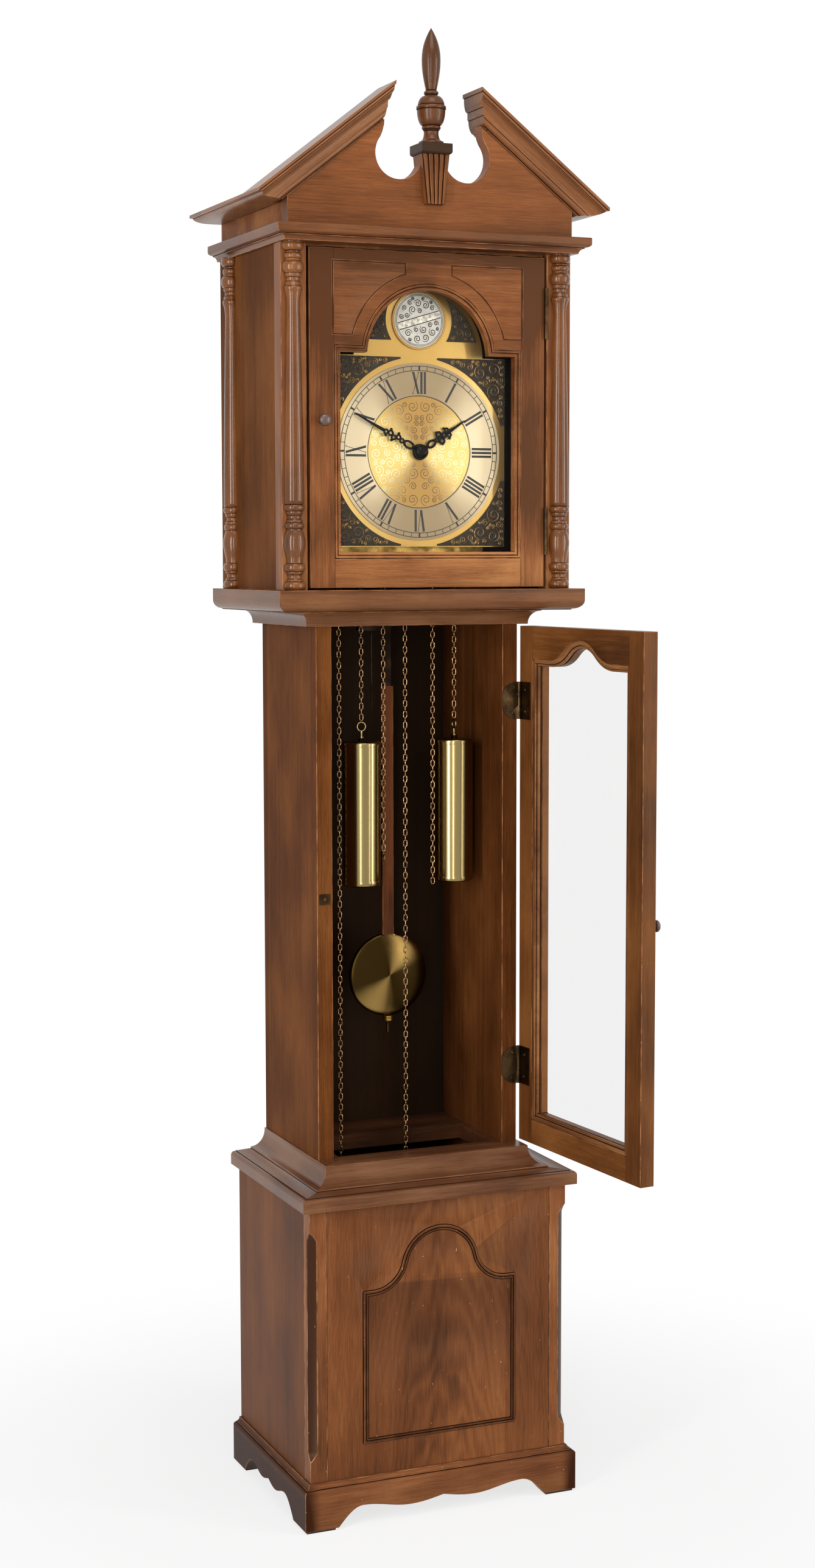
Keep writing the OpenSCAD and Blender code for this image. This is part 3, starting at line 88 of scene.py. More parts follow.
class Wire:
    """A node's output. Sums on it add Math nodes to its finish."""

    def __init__(self, finish, socket):
        self.finish = finish
        self.socket = socket

    def __add__(self, other):
        return self.finish.maths("ADD", self, other)

    def __sub__(self, other):
        return self.finish.maths("SUBTRACT", self, other)

    def __rsub__(self, other):
        return self.finish.maths("SUBTRACT", other, self)

    def __mul__(self, other):
        return self.finish.maths("MULTIPLY", self, other)

    def __truediv__(self, other):
        return self.finish.maths("DIVIDE", self, other)

    def __pow__(self, other):
        return self.finish.maths("POWER", self, other)

    def __abs__(self):
        return self.finish.maths("ABSOLUTE", self)

    def __lt__(self, other):
        return self.finish.maths("LESS_THAN", self, other)

    def __gt__(self, other):
        return self.finish.maths("GREATER_THAN", self, other)

    __radd__ = __add__
    __rmul__ = __mul__


class Finish:
    """A surface finish: one Principled shader and the nodes that vary it."""

    def __init__(self, name, shader):
        self.material = bpy.data.materials.new(name)
        self.material.use_nodes = True
        self.nodes = self.material.node_tree.nodes
        self.links = self.material.node_tree.links
        self.feed(self.nodes["Principled BSDF"], shader)
        self.here = self.add("ShaderNodeTexCoord", output="Object")

    def feed(self, node, values):
        """Sets a node's inputs from wires, web codes and numbers."""
        for name, value in values.items():
            if isinstance(value, Wire):
                self.links.new(value.socket, node.inputs[name])
            elif isinstance(value, str):
                node.inputs[name].default_value = tint(value)
            else:
                node.inputs[name].default_value = value

    def add(self, kind, settings=None, values=None, output=0):
        node = self.nodes.new(kind)
        for name, value in (settings or {}).items():
            setattr(node, name, value)
        self.feed(node, values or {})
        return Wire(self, node.outputs[output])

    def ramp(self, value, stops):
        """A colour for each value, between stops of position and web code."""
        ramped = self.add("ShaderNodeValToRGB", None, {0: value})
        elements = ramped.socket.node.color_ramp.elements
        elements.remove(elements[1])
        elements[0].position, elements[0].color = stops[0][0], tint(stops[0][1])
        for position, code in stops[1:]:
            elements.new(position).color = tint(code)
        return ramped

    def maths(self, how, a, b=0):
        return self.add("ShaderNodeMath", {"operation": how}, {0: a, 1: b})

    def mix(self, share, a, b):
        return self.add("ShaderNodeMix", {"data_type": "RGBA"}, {0: share, 6: a, 7: b}, 2)

    def choose(self, share, a, b):
        """One of two vectors."""
        return self.add("ShaderNodeMix", {"data_type": "VECTOR"}, {0: share, 4: a, 5: b}, 1)

    def split(self, vector):
        parts = self.add("ShaderNodeSeparateXYZ", None, {0: vector}).socket.node.outputs
        return [Wire(self, part) for part in parts]

    def join(self, x, y, z):
        return self.add("ShaderNodeCombineXYZ", None, {0: x, 1: y, 2: z})

    def noise(self, vector, scale, detail=2, rough=0.5, twist=0):
        """Cloudy noise around 0.5, with its scale along each axis."""
        moved = self.add("ShaderNodeMapping", None, {"Vector": vector, "Scale": scale})
        return self.add("ShaderNodeTexNoise", None, {
            "Vector": moved, "Scale": 1, "Detail": detail, "Roughness": rough,
            "Distortion": twist})

    def soft_step(self, value, low, high, a=0, b=1):
        """Goes smoothly from a to b as the value goes from low to high."""
        return self.add("ShaderNodeMapRange", {"interpolation_type": "SMOOTHSTEP"},
                        {0: value, 1: low, 2: high, 3: a, 4: b})

    def bump(self, height, strength, distance):
        return self.add("ShaderNodeBump", None,
                        {"Height": height, "Strength": strength, "Distance": distance})

    def show(self, values):
        """Sets the shader's inputs and gives the material."""
        self.feed(self.nodes["Principled BSDF"], values)
        return self.material


def upright(finish):
    """Grain that runs up the piece. Gives across, across and along, and no joint lines."""
    return finish.here, None


def level(finish):
    """Grain that runs across the piece."""
    x, y, z = finish.split(finish.here)
    return finish.join(z, y, x), None


WALNUT = ("#4c2b17", "#7a4828", "#9c683f")
WARM_SHEEN = (0.85, 0.58, 0.38, 1)
FULL_TURN = 6.283


def wood(name, lie, tones=WALNUT, lot=0.0, strip=0.055, arch=None, gloss=0.42, coat=0.0,
         shade_by_place=None, sheen=0.3, light_and_tone=None, figure=1.0, chips=False, polish=0.18):
    """Stained wood: strips glued side by side, long streaks, short pores and a satin coat.

    lie gives the direction of the grain and the joint lines, lot the board it's cut from,
    strip the width of a strip, and arch the middle and foot of a cathedral figure and the
    height of its knot. Its mask darkens it by place, as painted shade, and its tone shift
    moves its tone, partly as painted light and shade.
    """
    finish = Finish(name, {"Coat Weight": coat, "Coat Roughness": polish, "IOR": 1.45,
                           "Specular IOR Level": sheen, "Specular Tint": WARM_SHEEN})
    grain, seam = lie(finish)
    grain = finish.add("ShaderNodeVectorMath", {"operation": "ADD"},
                       {0: grain, 1: (lot, lot * 0.7, lot * 1.3)})
    u, v, w = finish.split(grain)
    blotch = finish.noise(grain, (12, 12, 7), 3)
    broad = finish.noise(grain, (34, 34, 1.6), 2, 0.5, 0.4)
    streak = finish.noise(grain, (150, 150, 4))
    fine = finish.noise(grain, (900, 900, 30), 2, 0.6)
    pores = finish.noise(grain, (2400, 2400, 110), 1)
    board = finish.add("ShaderNodeTexWhiteNoise", {"noise_dimensions": "1D"},
                       {"W": finish.maths("FLOOR", (u + v * 0.37) / strip)})
    tone = (blotch - 0.5) * 1.15 + (broad - 0.5) * 0.4 + (streak - 0.5) * 0.3
    tone = tone * figure + (fine - 0.5) * 0.45 + (board - 0.5) * 0.2 + 0.5
    # Painted light and shade: the tone is shifted by place.
    if light_and_tone:
        tone = tone + light_and_tone(finish)
    if arch:
        middle, foot, knot_height = arch
        rings_per_metre, bend = 22, 900
        swing = u - middle + (blotch - 0.5) * 0.05
        rings = (w - foot) * rings_per_metre + swing * swing * bend + (broad - 0.5) * 3
        ring = finish.maths("SINE", rings * FULL_TURN)
        fade = finish.soft_step(abs(swing), 0.02, 0.09, 0.07, 0.02)
        tone = tone + ring * fade
    colour = finish.ramp(tone, ((0.2, tones[0]), (0.5, tones[1]), (0.85, tones[2])))
    speck = finish.soft_step(pores, 0.56, 0.68, 0, 0.3)
    colour = finish.mix(speck, colour, tones[0])
    if arch:
        knot = finish.noise(grain, (60, 60, 24))
        near = ((u - middle - 0.004) * 95) ** 2 + ((w - knot_height) * 42) ** 2
        mark = finish.soft_step(near + (knot - 0.5) * 2.4, 0.1, 1, 0.6, 0)
        colour = finish.mix(mark, colour, "#2a150b")
    if seam is not None:
        colour = finish.mix(seam, colour, "#1c0f08")
    # Painted shade: darker by place where the mask is high.
    if shade_by_place:
        colour = finish.mix(shade_by_place(finish), colour, "#33190d")
    if chips:
        chip = finish.noise(finish.here, (320, 320, 200), 1)
        colour = finish.mix(finish.soft_step(chip, 0.785, 0.8, 0, 0.6), colour, "#c79f76")
    rough = gloss + (fine - 0.5) * 0.16 + (blotch - 0.5) * 0.1
    return finish.show({"Base Color": colour, "Roughness": rough,
                        "Normal": finish.bump(fine + pores * 0.6, 0.25, 0.0002)})


def worn_highlit_wood():
    """Arrises a little paler than the faces, partly wear and partly painted highlight along the edges,
    with a few bright nicks.
    """
    finish = Finish("worn_and_highlit_arris", {"Specular IOR Level": 0.3, "Specular Tint": WARM_SHEEN})
    rub = finish.noise(finish.here, (45, 45, 45), 3)
    nick = finish.noise(finish.here, (260, 260, 260))
    # The paler arris stands partly for wear and partly for painted highlight.
    colour = finish.mix(finish.soft_step(rub, 0.35, 0.7), "#5a341e", "#aa734a")
    colour = finish.mix(finish.soft_step(nick, 0.75, 0.79, 0, 0.8), colour, "#d9b48c")
    return finish.show({"Base Color": colour, "Roughness": 0.4 + (rub - 0.5) * 0.2})


worn_highlit_arris = worn_highlit_wood()


def corner_shade_wood():
    """Painted shade in the inner corners: a dark ribbon where a corner falls into shade."""
    finish = Finish("painted_shade_in_corners", {"Specular IOR Level": 0.05})
    cloud = finish.noise(finish.here, (60, 60, 60), 3)
    return finish.show({"Base Color": finish.mix(cloud, "#1e0f07", "#402212"),
                        "Roughness": 0.5 + (cloud - 0.5) * 0.2})


corner_shade_finish = corner_shade_wood()


def repaint(node, material):
    """A CAD node that keeps its own mesh gets its finish."""
    mesh = frame["nodes"][node].data
    mesh.materials.clear()
    mesh.materials.append(material)


def put_in(name, data):
    """An object in the scene, from its mesh, lamp or lens."""
    thing = bpy.data.objects.new(name, data)
    bpy.context.collection.objects.link(thing)
    return thing


def add_piece(name, mesh, body):
    """A mesh becomes a visible piece that rides a body."""
    piece = put_in(name, mesh)
    if body:
        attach(piece, body)
    return piece


def add_shape(name, shape, finish, body, smooth=False):
    """A bmesh becomes a visible piece of one finish."""
    mesh = bpy.data.meshes.new(name)
    shape.to_mesh(mesh)
    shape.free()
    mesh.materials.append(finish)
    if smooth:
        mesh.shade_smooth()
    add_piece(name, mesh, body)


SHADE_RIBBON_LIFT = 0.00004


def lay_shade_ribbon(shade_ribbons, edge, face, width):
    """A hair-thin ribbon of painted shade on a face, along one of its inner corners."""
    loop = [c for c in face.loops if c.edge == edge][0]
    a, b = loop.vert.co, loop.link_loop_next.vert.co
    inward = face.normal.cross((b - a).normalized()) * width
    up = face.normal * SHADE_RIBBON_LIFT
    shade_ribbons.faces.new([shade_ribbons.verts.new(p + up) for p in (a, b, b + inward, a + inward)])


ARRIS_TURN = math.radians(40)
CORNER_TURN = math.radians(-25)
SMOOTH_TURN = math.radians(28)
FLAT_TURN = math.radians(0.4)
WELD = 1e-5


def dress(node, finish, edge=0.0007, arris=worn_highlit_arris, shade_width=0.0009):
    """A piece with its arrises eased, as sandpaper leaves them, and painted shade in its inner corners.
    """
    body = frame["nodes"][node]["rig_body"]
    mesh = frame["nodes"][node].data.copy()
    shape = bmesh.new()
    shape.from_mesh(mesh)
    bmesh.ops.remove_doubles(shape, verts=shape.verts, dist=WELD)
    if edge:
        bmesh.ops.dissolve_limit(shape, angle_limit=FLAT_TURN, verts=shape.verts,
                                 edges=shape.edges)
    ease = shape.edges.layers.float.new("bevel_weight_edge")
    shade_ribbons = bmesh.new()
    for line in shape.edges:
        turn = line.calc_face_angle_signed(0)
        line[ease] = 1.0 if turn > ARRIS_TURN else 0.0
        # Inner corners get ribbons of painted shade.
        if turn < CORNER_TURN and arris is worn_highlit_arris:
            for face in line.link_faces:
                lay_shade_ribbon(shade_ribbons, line, face, shade_width)
    if shade_ribbons.faces:
        add_shape(node + "_painted_corner_shade", shade_ribbons, corner_shade_finish, body)
    else:
        shade_ribbons.free()
    shape.to_mesh(mesh)
    shape.free()
    mesh.materials.clear()
    mesh.materials.append(finish)
    mesh.materials.append(arris)
    mesh.shade_smooth()
    mesh.set_sharp_from_angle(angle=SMOOTH_TURN)
    piece = add_piece(node + "_dressed", mesh, body)
    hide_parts(node)
    if edge:
        bevel = piece.modifiers.new("eased arris", "BEVEL")
        bevel.width = edge
        bevel.segments = 2
        bevel.limit_method = "WEIGHT"
        bevel.material = 1
        bevel.harden_normals = True
    return piece


def mitred(half, depth):
    """Grain along a moulding that turns both front corners, with its mitre lines.

    The mitres run back from a corner at this half width and depth, in millimetres.
    """
    corner = half / 1000 + WALL_Y - depth / 1000

    def lie(finish):
        x, y, z = finish.split(finish.here)
        past = abs(x) + y - corner
        grain = finish.choose(past > 0, finish.join(z, y, x), finish.join(z, x, y))
        return grain, (abs(past) < 0.0004) * 0.7
    return lie


def plinth_shade_mask(finish):
    """Painted shade on the plinth's sides, and darker low down."""
    x, y, z = finish.split(finish.here)
    return finish.soft_step(z, 0, 0.075, 0.4, 0) + finish.soft_step(abs(x), 0.15, 0.17, 0, 0.8)


plinth_wood = wood("plinth_wood", mitred(half=161.8, depth=243.3),
                   ("#4a2a1a", "#7c4c2e", "#a06b44"), lot=0.3, sheen=0.1, shade_by_place=plinth_shade_mask, chips=True)
dress("plinth", plinth_wood, edge=0.001)


def chamfer_shade(finish):
    """Painted shade on the corner chamfers, which face half left or right."""
    x, y, z = finish.split(finish.add("ShaderNodeTexCoord", output="Normal"))
    return finish.soft_step(abs(x) * abs(y), 0.05, 0.3, 0, 1.4)


base_side_wood = wood("base_side_wood", upright, ("#3d200d", "#61371b", "#7f4e2a"), lot=1.2,
                      sheen=0.08, figure=0.75)
dress("base_carcass", base_side_wood)
base_stile_wood = wood("base_stile_wood", upright, lot=2.5, strip=0.2, shade_by_place=chamfer_shade, chips=True)
dress("base_stiles", base_stile_wood)
# The back board is painted nearly black, as painted shade inside the case.
shaded_inner_wood = wood("back_board_wood", upright, ("#110904", "#1d0f07", "#2c190d"), lot=4.1, gloss=0.6)
dress("back_board", shaded_inner_wood, arris=shaded_inner_wood)

# Foot pads: four thin pads of dark felt, glued under the bracket feet to keep them off
# the floor.

felt = Finish("foot_felt", {"Roughness": 0.95})
nap = felt.noise(felt.here, (900, 900, 900), 3)
repaint("foot_pads", felt.show({"Base Color": felt.mix(nap, "#120f0d", "#3b322b"),
                                "Normal": felt.bump(nap, 0.5, 0.0006)}))

# Front panel of the base: one wide board with an arched, shouldered field, whose edge is
# a double bead. The figure is cathedral grain with a small knot low in the middle.

panel_low, panel_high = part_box("base_panel")
bead_top = panel_low.y + 0.00035
panel_edge = panel_high.x - 0.0009


def bead_shade(finish):
    """Painted shade: the two thin beads round the field are darkened, for the shadow lines along them.
    """
    x, y, z = finish.split(finish.here)
    return (y < bead_top) * 0.6


def in_stiles(finish):
    """Upright grain, with the lines where the panel meets its stiles."""
    x, y, z = finish.split(finish.here)
    return finish.here, (abs(x) > panel_edge) * 0.8


panel_wood = wood("base_panel_wood", in_stiles, ("#452410", "#6f4022", "#905b33"),
                  strip=0.075, arch=(0.012, 0.2, 0.146), shade_by_place=bead_shade, figure=0.6,
                  chips=True)
dress("base_panel", panel_wood, edge=0.0003, shade_width=0.0012)

# Waist and hood mouldings: a long cove over a quarter round below, and a cove and a
# quarter round under the hood's foot, each planed in three lengths and mitred.

TRUNK_HALF = 126.5


def moulding(node, lie, tones, lot, figure=1.0, shade_width=0.0007):
    """A moulding, polished more than the boards and eased more at its arrises."""
    finish = wood(node + "_wood", lie, tones, lot, figure=figure, sheen=0.45, gloss=0.29)
    dress(node, finish, edge=0.001, shade_width=shade_width)


moulding("waist_moulding", mitred(TRUNK_HALF, depth=208), ("#3c2316", "#603a24", "#7f583c"), 5.3)
moulding("hood_moulding", mitred(TRUNK_HALF, depth=172.5), ("#3b2113", "#5e3720", "#7a5032"), 6.1)

# Trunk: two long side boards that also carry the seat board, and a floor frame that is
# open for the chains. Same boards as the base; the floor frame is painted dark, as painted
# shade inside where no light falls.

side_wood = wood("side_board_wood", upright, ("#391e0b", "#5d3418", "#7f4e28"), lot=1.7,
                 sheen=0.015, figure=0.75)
dress("trunk_sides", side_wood)
# The floor frame's dark colour is painted shade.
shaded_floor_wood = wood("floor_frame_wood", level, ("#26140a", "#472816", "#5f3a22"), lot=7.7, gloss=0.6)
dress("trunk_floor", shaded_floor_wood, arris=shaded_floor_wood)

# Hood: side boards, a front frame, split turnings planted on the front and the sides,
# and the top board. The turnings are lacquered brighter than the boards, and a cheek
# strip beside the back board closes the hood behind.

hood_side_wood = wood("hood_side_wood", upright, ("#3c200d", "#603719", "#80502a"), lot=8.2,
                      strip=0.045, sheen=0.015, figure=0.75)
dress("hood_sides", hood_side_wood)
dress("hood_front_frame", wood("corner_stile_wood", upright, lot=2.9, strip=0.2))

HOOD_INSIDE_HALF = 158
HOOD_BACK_HALF = 151
HOOD_FOOT = 1074.7
SEAT_HEIGHT = 1095
HOOD_TOP = 1457.6
CHEEK_DEPTHS = (0.3, 9.7)


def skin(shape, rows):
    """The faces between two outlines, each with as many corners."""
    for i in range(len(rows[0])):
        shape.faces.new((rows[0][i], rows[0][i - 1], rows[1][i - 1], rows[1][i]))


cheeks = bmesh.new()
outline = ((TRUNK_HALF, HOOD_FOOT), (HOOD_INSIDE_HALF, HOOD_FOOT), (HOOD_INSIDE_HALF, HOOD_TOP),
           (HOOD_BACK_HALF, HOOD_TOP), (HOOD_BACK_HALF, SEAT_HEIGHT), (TRUNK_HALF, SEAT_HEIGHT))
for side in (-1, 1):
    rows = [[cheeks.verts.new(place(side * x, depth, z)) for x, z in outline]
            for depth in CHEEK_DEPTHS]
    for row in rows:
        cheeks.faces.new(row)
    skin(cheeks, rows)
bmesh.ops.recalc_face_normals(cheeks, faces=cheeks.faces)
# The cheeks share the back board's painted shade.
add_shape("back_board_cheeks", cheeks, shaded_inner_wood, "case")

dress("hood_top_board", wood("top_board_wood", level, lot=9.4))
turned_wood = wood("turned_wood", upright, ("#3b1e0a", "#643815", "#855025"), lot=10.6,
                   strip=0.3, gloss=0.32, coat=0.5, polish=0.12)
dress("columns", turned_wood, edge=0, shade_width=0.0004)

# Cornice, frieze and broken pediment: mitred cornice, plain frieze boards with a scrolled
# front, raking mouldings sprung at the slope of the gable, and a reeded keystone.

GABLE_SLOPE = math.radians(37.7)


def raked(finish):
    """Grain along the slope, the same on both halves."""
    x, y, z = finish.split(finish.here)
    along = abs(x) * math.cos(GABLE_SLOPE) - z * math.sin(GABLE_SLOPE)
    up = abs(x) * math.sin(GABLE_SLOPE) + z * math.cos(GABLE_SLOPE)
    return finish.join(up, y, along), None


moulding("cornice", mitred(half=176, depth=228.2), ("#3e2212", "#623920", "#805333"), 11.5)
dress("frieze_sides", wood("frieze_side_wood", level, lot=12.4, sheen=0.04))
gable_wood = wood("gable_wood", level, ("#4d2a15", "#7a4726", "#9a643c"), lot=13.3, strip=0.3,
                  figure=0.6)
dress("tympanum", gable_wood, shade_width=0.0005)
moulding("raking_cornices", raked, ("#4f2e19", "#7c4e30", "#9f6d47"), 14.1, figure=0.7,
         shade_width=0.0005)
keystone_wood = wood("keystone_wood", upright, ("#4d2b15", "#7e4c2a", "#a26c42"), lot=15.2, strip=0.3)
dress("keystone", keystone_wood, edge=0.0004)

# Finial: a turned urn and blade, a little darker than the case, on a nearly black cap
# block.

block_wood = wood("cap_block_wood", level, ("#150e0a", "#2c1d14", "#3d2a1e"), lot=16.3)
dress("finial_block", block_wood, arris=block_wood)
finial_wood = wood("finial_wood", upright, ("#2f180a", "#4c2b15", "#663d21"), lot=17.4,
                   strip=0.3, gloss=0.36, coat=0.35, polish=0.22, sheen=0.15)
dress("finial", finial_wood, edge=0)

# Hood door: two full-height stiles with the rails between them, a sunk panel line in
# each upper corner and a moulded window edge. The glass lies in a rebate behind.

HOOD_JOINT = 0.1152


def framed(joint, pivot=None, turn=0.0):
    """Upright grain in the stiles and level grain in the rails, with their joint lines.

    The joints are at this distance from the middle. A door that stands open has its
    finish turned about its pivot.
    """
    def lie(finish):
        spot = finish.here
        if pivot:
            spot = finish.add("ShaderNodeMapping", {"vector_type": "TEXTURE"},
                              {"Vector": spot, "Location": pivot, "Rotation": (0, 0, turn)})
        x, y, z = finish.split(spot)
        if pivot:
            x = x + pivot[0]
        past = abs(x) - joint
        grain = finish.choose(past > 0, finish.join(z, y, x), finish.join(x, y, z))
        return grain, (abs(past) < 0.00035) * 0.75
    return lie


def hood_door_shade_and_light(finish):
    """Painted shade towards the top of the door, under the cornice, and painted light on its bottom
    rail; the stiles are a little darker.
    """
    x, y, z = finish.split(finish.here)
    low = finish.soft_step(z, 1.1, 1.14, 0.25, 0)
    high = finish.soft_step(z, 1.26, 1.4, 0, -0.25)
    return low + high + (abs(x) > HOOD_JOINT) * -0.13


hood_door_wood = wood("hood_door_wood", framed(HOOD_JOINT), ("#482712", "#774626", "#a46d40"),
                      lot=18.6, light_and_tone=hood_door_shade_and_light)
dress("hood_door_frame", hood_door_wood, edge=0.0004, shade_width=0.0005)


def glass(name, clear, body_tint, film):
    """A pane that is nearly all clear, with a pale film in clouds over its own tint."""
    finish = Finish(name, {"Roughness": 0.03, "IOR": 1.5, "Alpha": clear})
    haze = finish.noise(finish.here, (7, 7, 4))
    smear = finish.mix(haze * film, body_tint, "#c9cfcc")
    return finish.show({"Base Color": smear})


repaint("hood_door_glass", glass("hood_glass", 0.02, "#3d4240", 0.3))

# Door knobs: small turnings of dark, lacquered wood, one let into the stile on the handle
# side of each door.

knob_wood = Finish("knob_lacquer", {"Coat Weight": 0.4, "Coat Roughness": 0.2})
rub = knob_wood.noise(knob_wood.here, (300, 300, 300))
knob_brown = knob_wood.show({"Base Color": knob_wood.mix(rub, "#2a1a12", "#5e4231"),
                             "Roughness": 0.35 + rub * 0.2})
for node in ("hood_door_knob", "trunk_door_knob"):
    dress(node, knob_brown, edge=0)

# Trunk door, standing open: stiles and rails as above, an arched head, the pane held by
# a paler pinned bead behind. Finishes follow the door's own boards about its hinge pin.

TRUNK_JOINT = 0.103
BEAD_JOINT = 0.0995
PIN = (0.1292, place(0, 182, 0).y, 0)
OPEN_TURN = math.radians(95)


def trunk_door_light_and_tone(finish):
    """Painted light near the hinges, where the case's edge shades the door, and darker towards its free
    end.
    """
    x, y, z = finish.split(finish.here)
    return finish.soft_step(y, PIN[1] - 0.2, PIN[1] - 0.04, -0.15, 0.25)


trunk_door_wood = wood("trunk_door_wood", framed(TRUNK_JOINT, PIN, OPEN_TURN),
                       ("#3c200d", "#613819", "#805028"), lot=19.2, light_and_tone=trunk_door_light_and_tone)
dress("trunk_door_frame", trunk_door_wood, edge=0.0005)
bead_wood = wood("bead_strip_wood", framed(BEAD_JOINT, PIN, OPEN_TURN),
                 ("#4a2a16", "#7a4d2d", "#9b6d43"), lot=20.8)
dress("trunk_door_beads", bead_wood, edge=0)
repaint("trunk_door_glass", glass("trunk_glass", 0.07, "#343937", 0.12))

# Hinges: pressed brass leaves, aged brown, with their knuckles and pins, and the catch's
# small striking plate. The trunk door's leaves have slotted screws, sunk flush.


def metal(name, dark, bright, rough, scale, wear=(0.35, 0.65)):
    """Metal with cloudy tarnish: darker in the low places, brighter where it's rubbed."""
    finish = Finish(name, {"Metallic": 1})
    cloud = finish.noise(finish.here, (scale, scale, scale), 4, 0.6)
    grit = finish.noise(finish.here, (scale * 9, scale * 9, scale * 9))
    rub = finish.soft_step(cloud, *wear)
    return finish.show({"Base Color": finish.mix(rub, dark, bright),
                        "Roughness": rough + (0.5 - rub) * 0.16 + (grit - 0.5) * 0.12,
                        "Normal": finish.bump(grit, 0.2, 0.0002)})


aged_brass = metal("aged_brass", "#2b2014", "#513d26", 0.36, 60, (0.3, 0.75))
for node in ("trunk_hinge_leaves", "hood_hinge_leaves", "hood_door_hinges",
             "trunk_door_hinges", "catch_plate"):
    dress(node, aged_brass, edge=0.0002, arris=aged_brass)


def copies(name, spots, tree, values, finish, body=None):
    """Runs a node tree on some points and keeps the result as one mesh."""
    base = bpy.data.meshes.new(name + "_spots")
    base.from_pydata([tuple(spot) for spot in spots], [], [])
    maker = put_in(name + "_maker", base)
    nodes = maker.modifiers.new("make", "NODES")
    nodes.node_group = tree
    sockets = {item.name: item.identifier for item in tree.interface.items_tree}
    for label, value in values.items():
        nodes[sockets[label]] = value
    nodes[sockets["Finish"]] = finish
    seen = maker.evaluated_get(bpy.context.evaluated_depsgraph_get())
    mesh = bpy.data.meshes.new_from_object(seen)
    bpy.data.objects.remove(maker)
    return add_piece(name, mesh, body)


class Bench:
    """A Geometry Nodes tree under construction, with named inputs."""

    def __init__(self, name, inputs):
        self.tree = bpy.data.node_groups.new(name, "GeometryNodeTree")
        face = self.tree.interface
        face.new_socket("Geometry", in_out="INPUT", socket_type="NodeSocketGeometry")
        for label, kind in list(inputs.items()) + [("Finish", "Material")]:
            face.new_socket(label, in_out="INPUT", socket_type="NodeSocket" + kind)
        face.new_socket("Geometry", in_out="OUTPUT", socket_type="NodeSocketGeometry")
        self.inputs = self.tree.nodes.new("NodeGroupInput")
        self.output = self.tree.nodes.new("NodeGroupOutput")

    def given(self, label):
        return self.inputs.outputs[label]

    def add(self, kind, settings=None, values=None, output=0):
        node = self.tree.nodes.new(kind)
        for name, value in (settings or {}).items():
            setattr(node, name, value)
        for name, value in (values or {}).items():
            if isinstance(value, bpy.types.NodeSocket):
                self.tree.links.new(value, node.inputs[name])
            else:
                node.inputs[name].default_value = value
        return node.outputs[output]

    def maths(self, how, a, b):
        return self.add("ShaderNodeMath", {"operation": how}, {0: a, 1: b})

    def times(self, value, share):
        return self.maths("MULTIPLY", value, share)

    def vector(self, parts):
        """A vector whose parts are numbered 0 to 2, and nought where none is given."""
        return self.add("ShaderNodeCombineXYZ", None, parts)

    def finish(self, geometry):
        """Makes the copies real and smooth, gives them their finish and closes the tree."""
        real = self.add("GeometryNodeRealizeInstances", None, {0: geometry})
        smooth = self.add("GeometryNodeSetShadeSmooth", None, {0: real})
        done = self.add("GeometryNodeSetMaterial", None,
                        {"Geometry": smooth, "Material": self.given("Finish")})
        self.tree.links.new(done, self.output.inputs[0])
        return self.tree


def screw_tree():
    """A head sunk flush, with a slot, turned by a random amount about its own axis."""
    bench = Bench("screw heads", {"Radius": "Float", "Facing": "Rotation"})
    radius = bench.given("Radius")
    head = bench.add("GeometryNodeMeshCone", {"fill_type": "NGON"}, {
        "Vertices": 14, "Radius Top": bench.times(radius, 0.72), "Radius Bottom": radius,
        "Depth": bench.times(radius, 0.22)})
    size = bench.vector({0: bench.times(radius, 1.3), 1: bench.times(radius, 0.22),
                         2: bench.times(radius, 0.5)})
    blade = bench.add("GeometryNodeMeshCube", None, {0: size})
    raised = bench.add("GeometryNodeTransform", None, {
        "Geometry": blade, "Translation": bench.vector({2: bench.times(radius, 0.36)})})
    cut = bench.add("GeometryNodeMeshBoolean", {"operation": "DIFFERENCE"},
                    {"Mesh 1": head, "Mesh 2": raised})
    spin = bench.add("FunctionNodeRandomValue", {"data_type": "FLOAT"},
                     {2: 0.0, 3: 6.28, "Seed": 4}, 1)
    about = bench.add("FunctionNodeAxisAngleToRotation", None,
                      {"Axis": (0, 0, 1), "Angle": spin})
    turned = bench.add("FunctionNodeRotateRotation", {"rotation_space": "LOCAL"},
                       {0: bench.given("Facing"), 1: about})
    put = bench.add("GeometryNodeInstanceOnPoints", None,
                    {"Points": bench.given("Geometry"), "Instance": cut, "Rotation": turned})
    return bench.finish(put)


QUARTER = math.radians(90)
screws = screw_tree()
screw_steel = metal("screw_metal", "#1c1610", "#6b5838", 0.4, 400)
SCREW_RADIUS = 0.0024
TRUNK_HINGES = (507.5, 943)
FIXED_LEAF_DEPTH = 182.38
DOOR_LEAF_DEPTH = 183.57
leaf_screws = [place(x, FIXED_LEAF_DEPTH, middle + z) for middle in TRUNK_HINGES
               for x, z in ((121.5, -15.5), (113, 0), (121.5, 15.5))]
door_screws = [place(118.5, DOOR_LEAF_DEPTH, middle + z) for middle in TRUNK_HINGES
               for z in (-13, 13)]
copies("trunk_leaf_screws", leaf_screws, screws,
       {"Radius": SCREW_RADIUS, "Facing": (QUARTER, 0, 0)}, screw_steel, "case")
from_pin = Matrix.Translation(-Vector(PIN))
opened = Matrix.Translation(PIN) @ Matrix.Rotation(OPEN_TURN, 4, "Z") @ from_pin
copies("trunk_door_screws", [opened @ spot for spot in door_screws], screws,
       {"Radius": SCREW_RADIUS, "Facing": (QUARTER, 0, OPEN_TURN + math.pi)},
       screw_steel, "trunk_door")

# Dial: a brass plate with an arch, a silvered ring with painted black numerals and
# minute track, a lacquered centre with fine scrollwork, and a disc in the arch.

DIAL = place(0, 184.4, 1231.3)
DISC_HEIGHT = 149
DISC = DIAL + Vector((0, 0, DISC_HEIGHT / 1000))


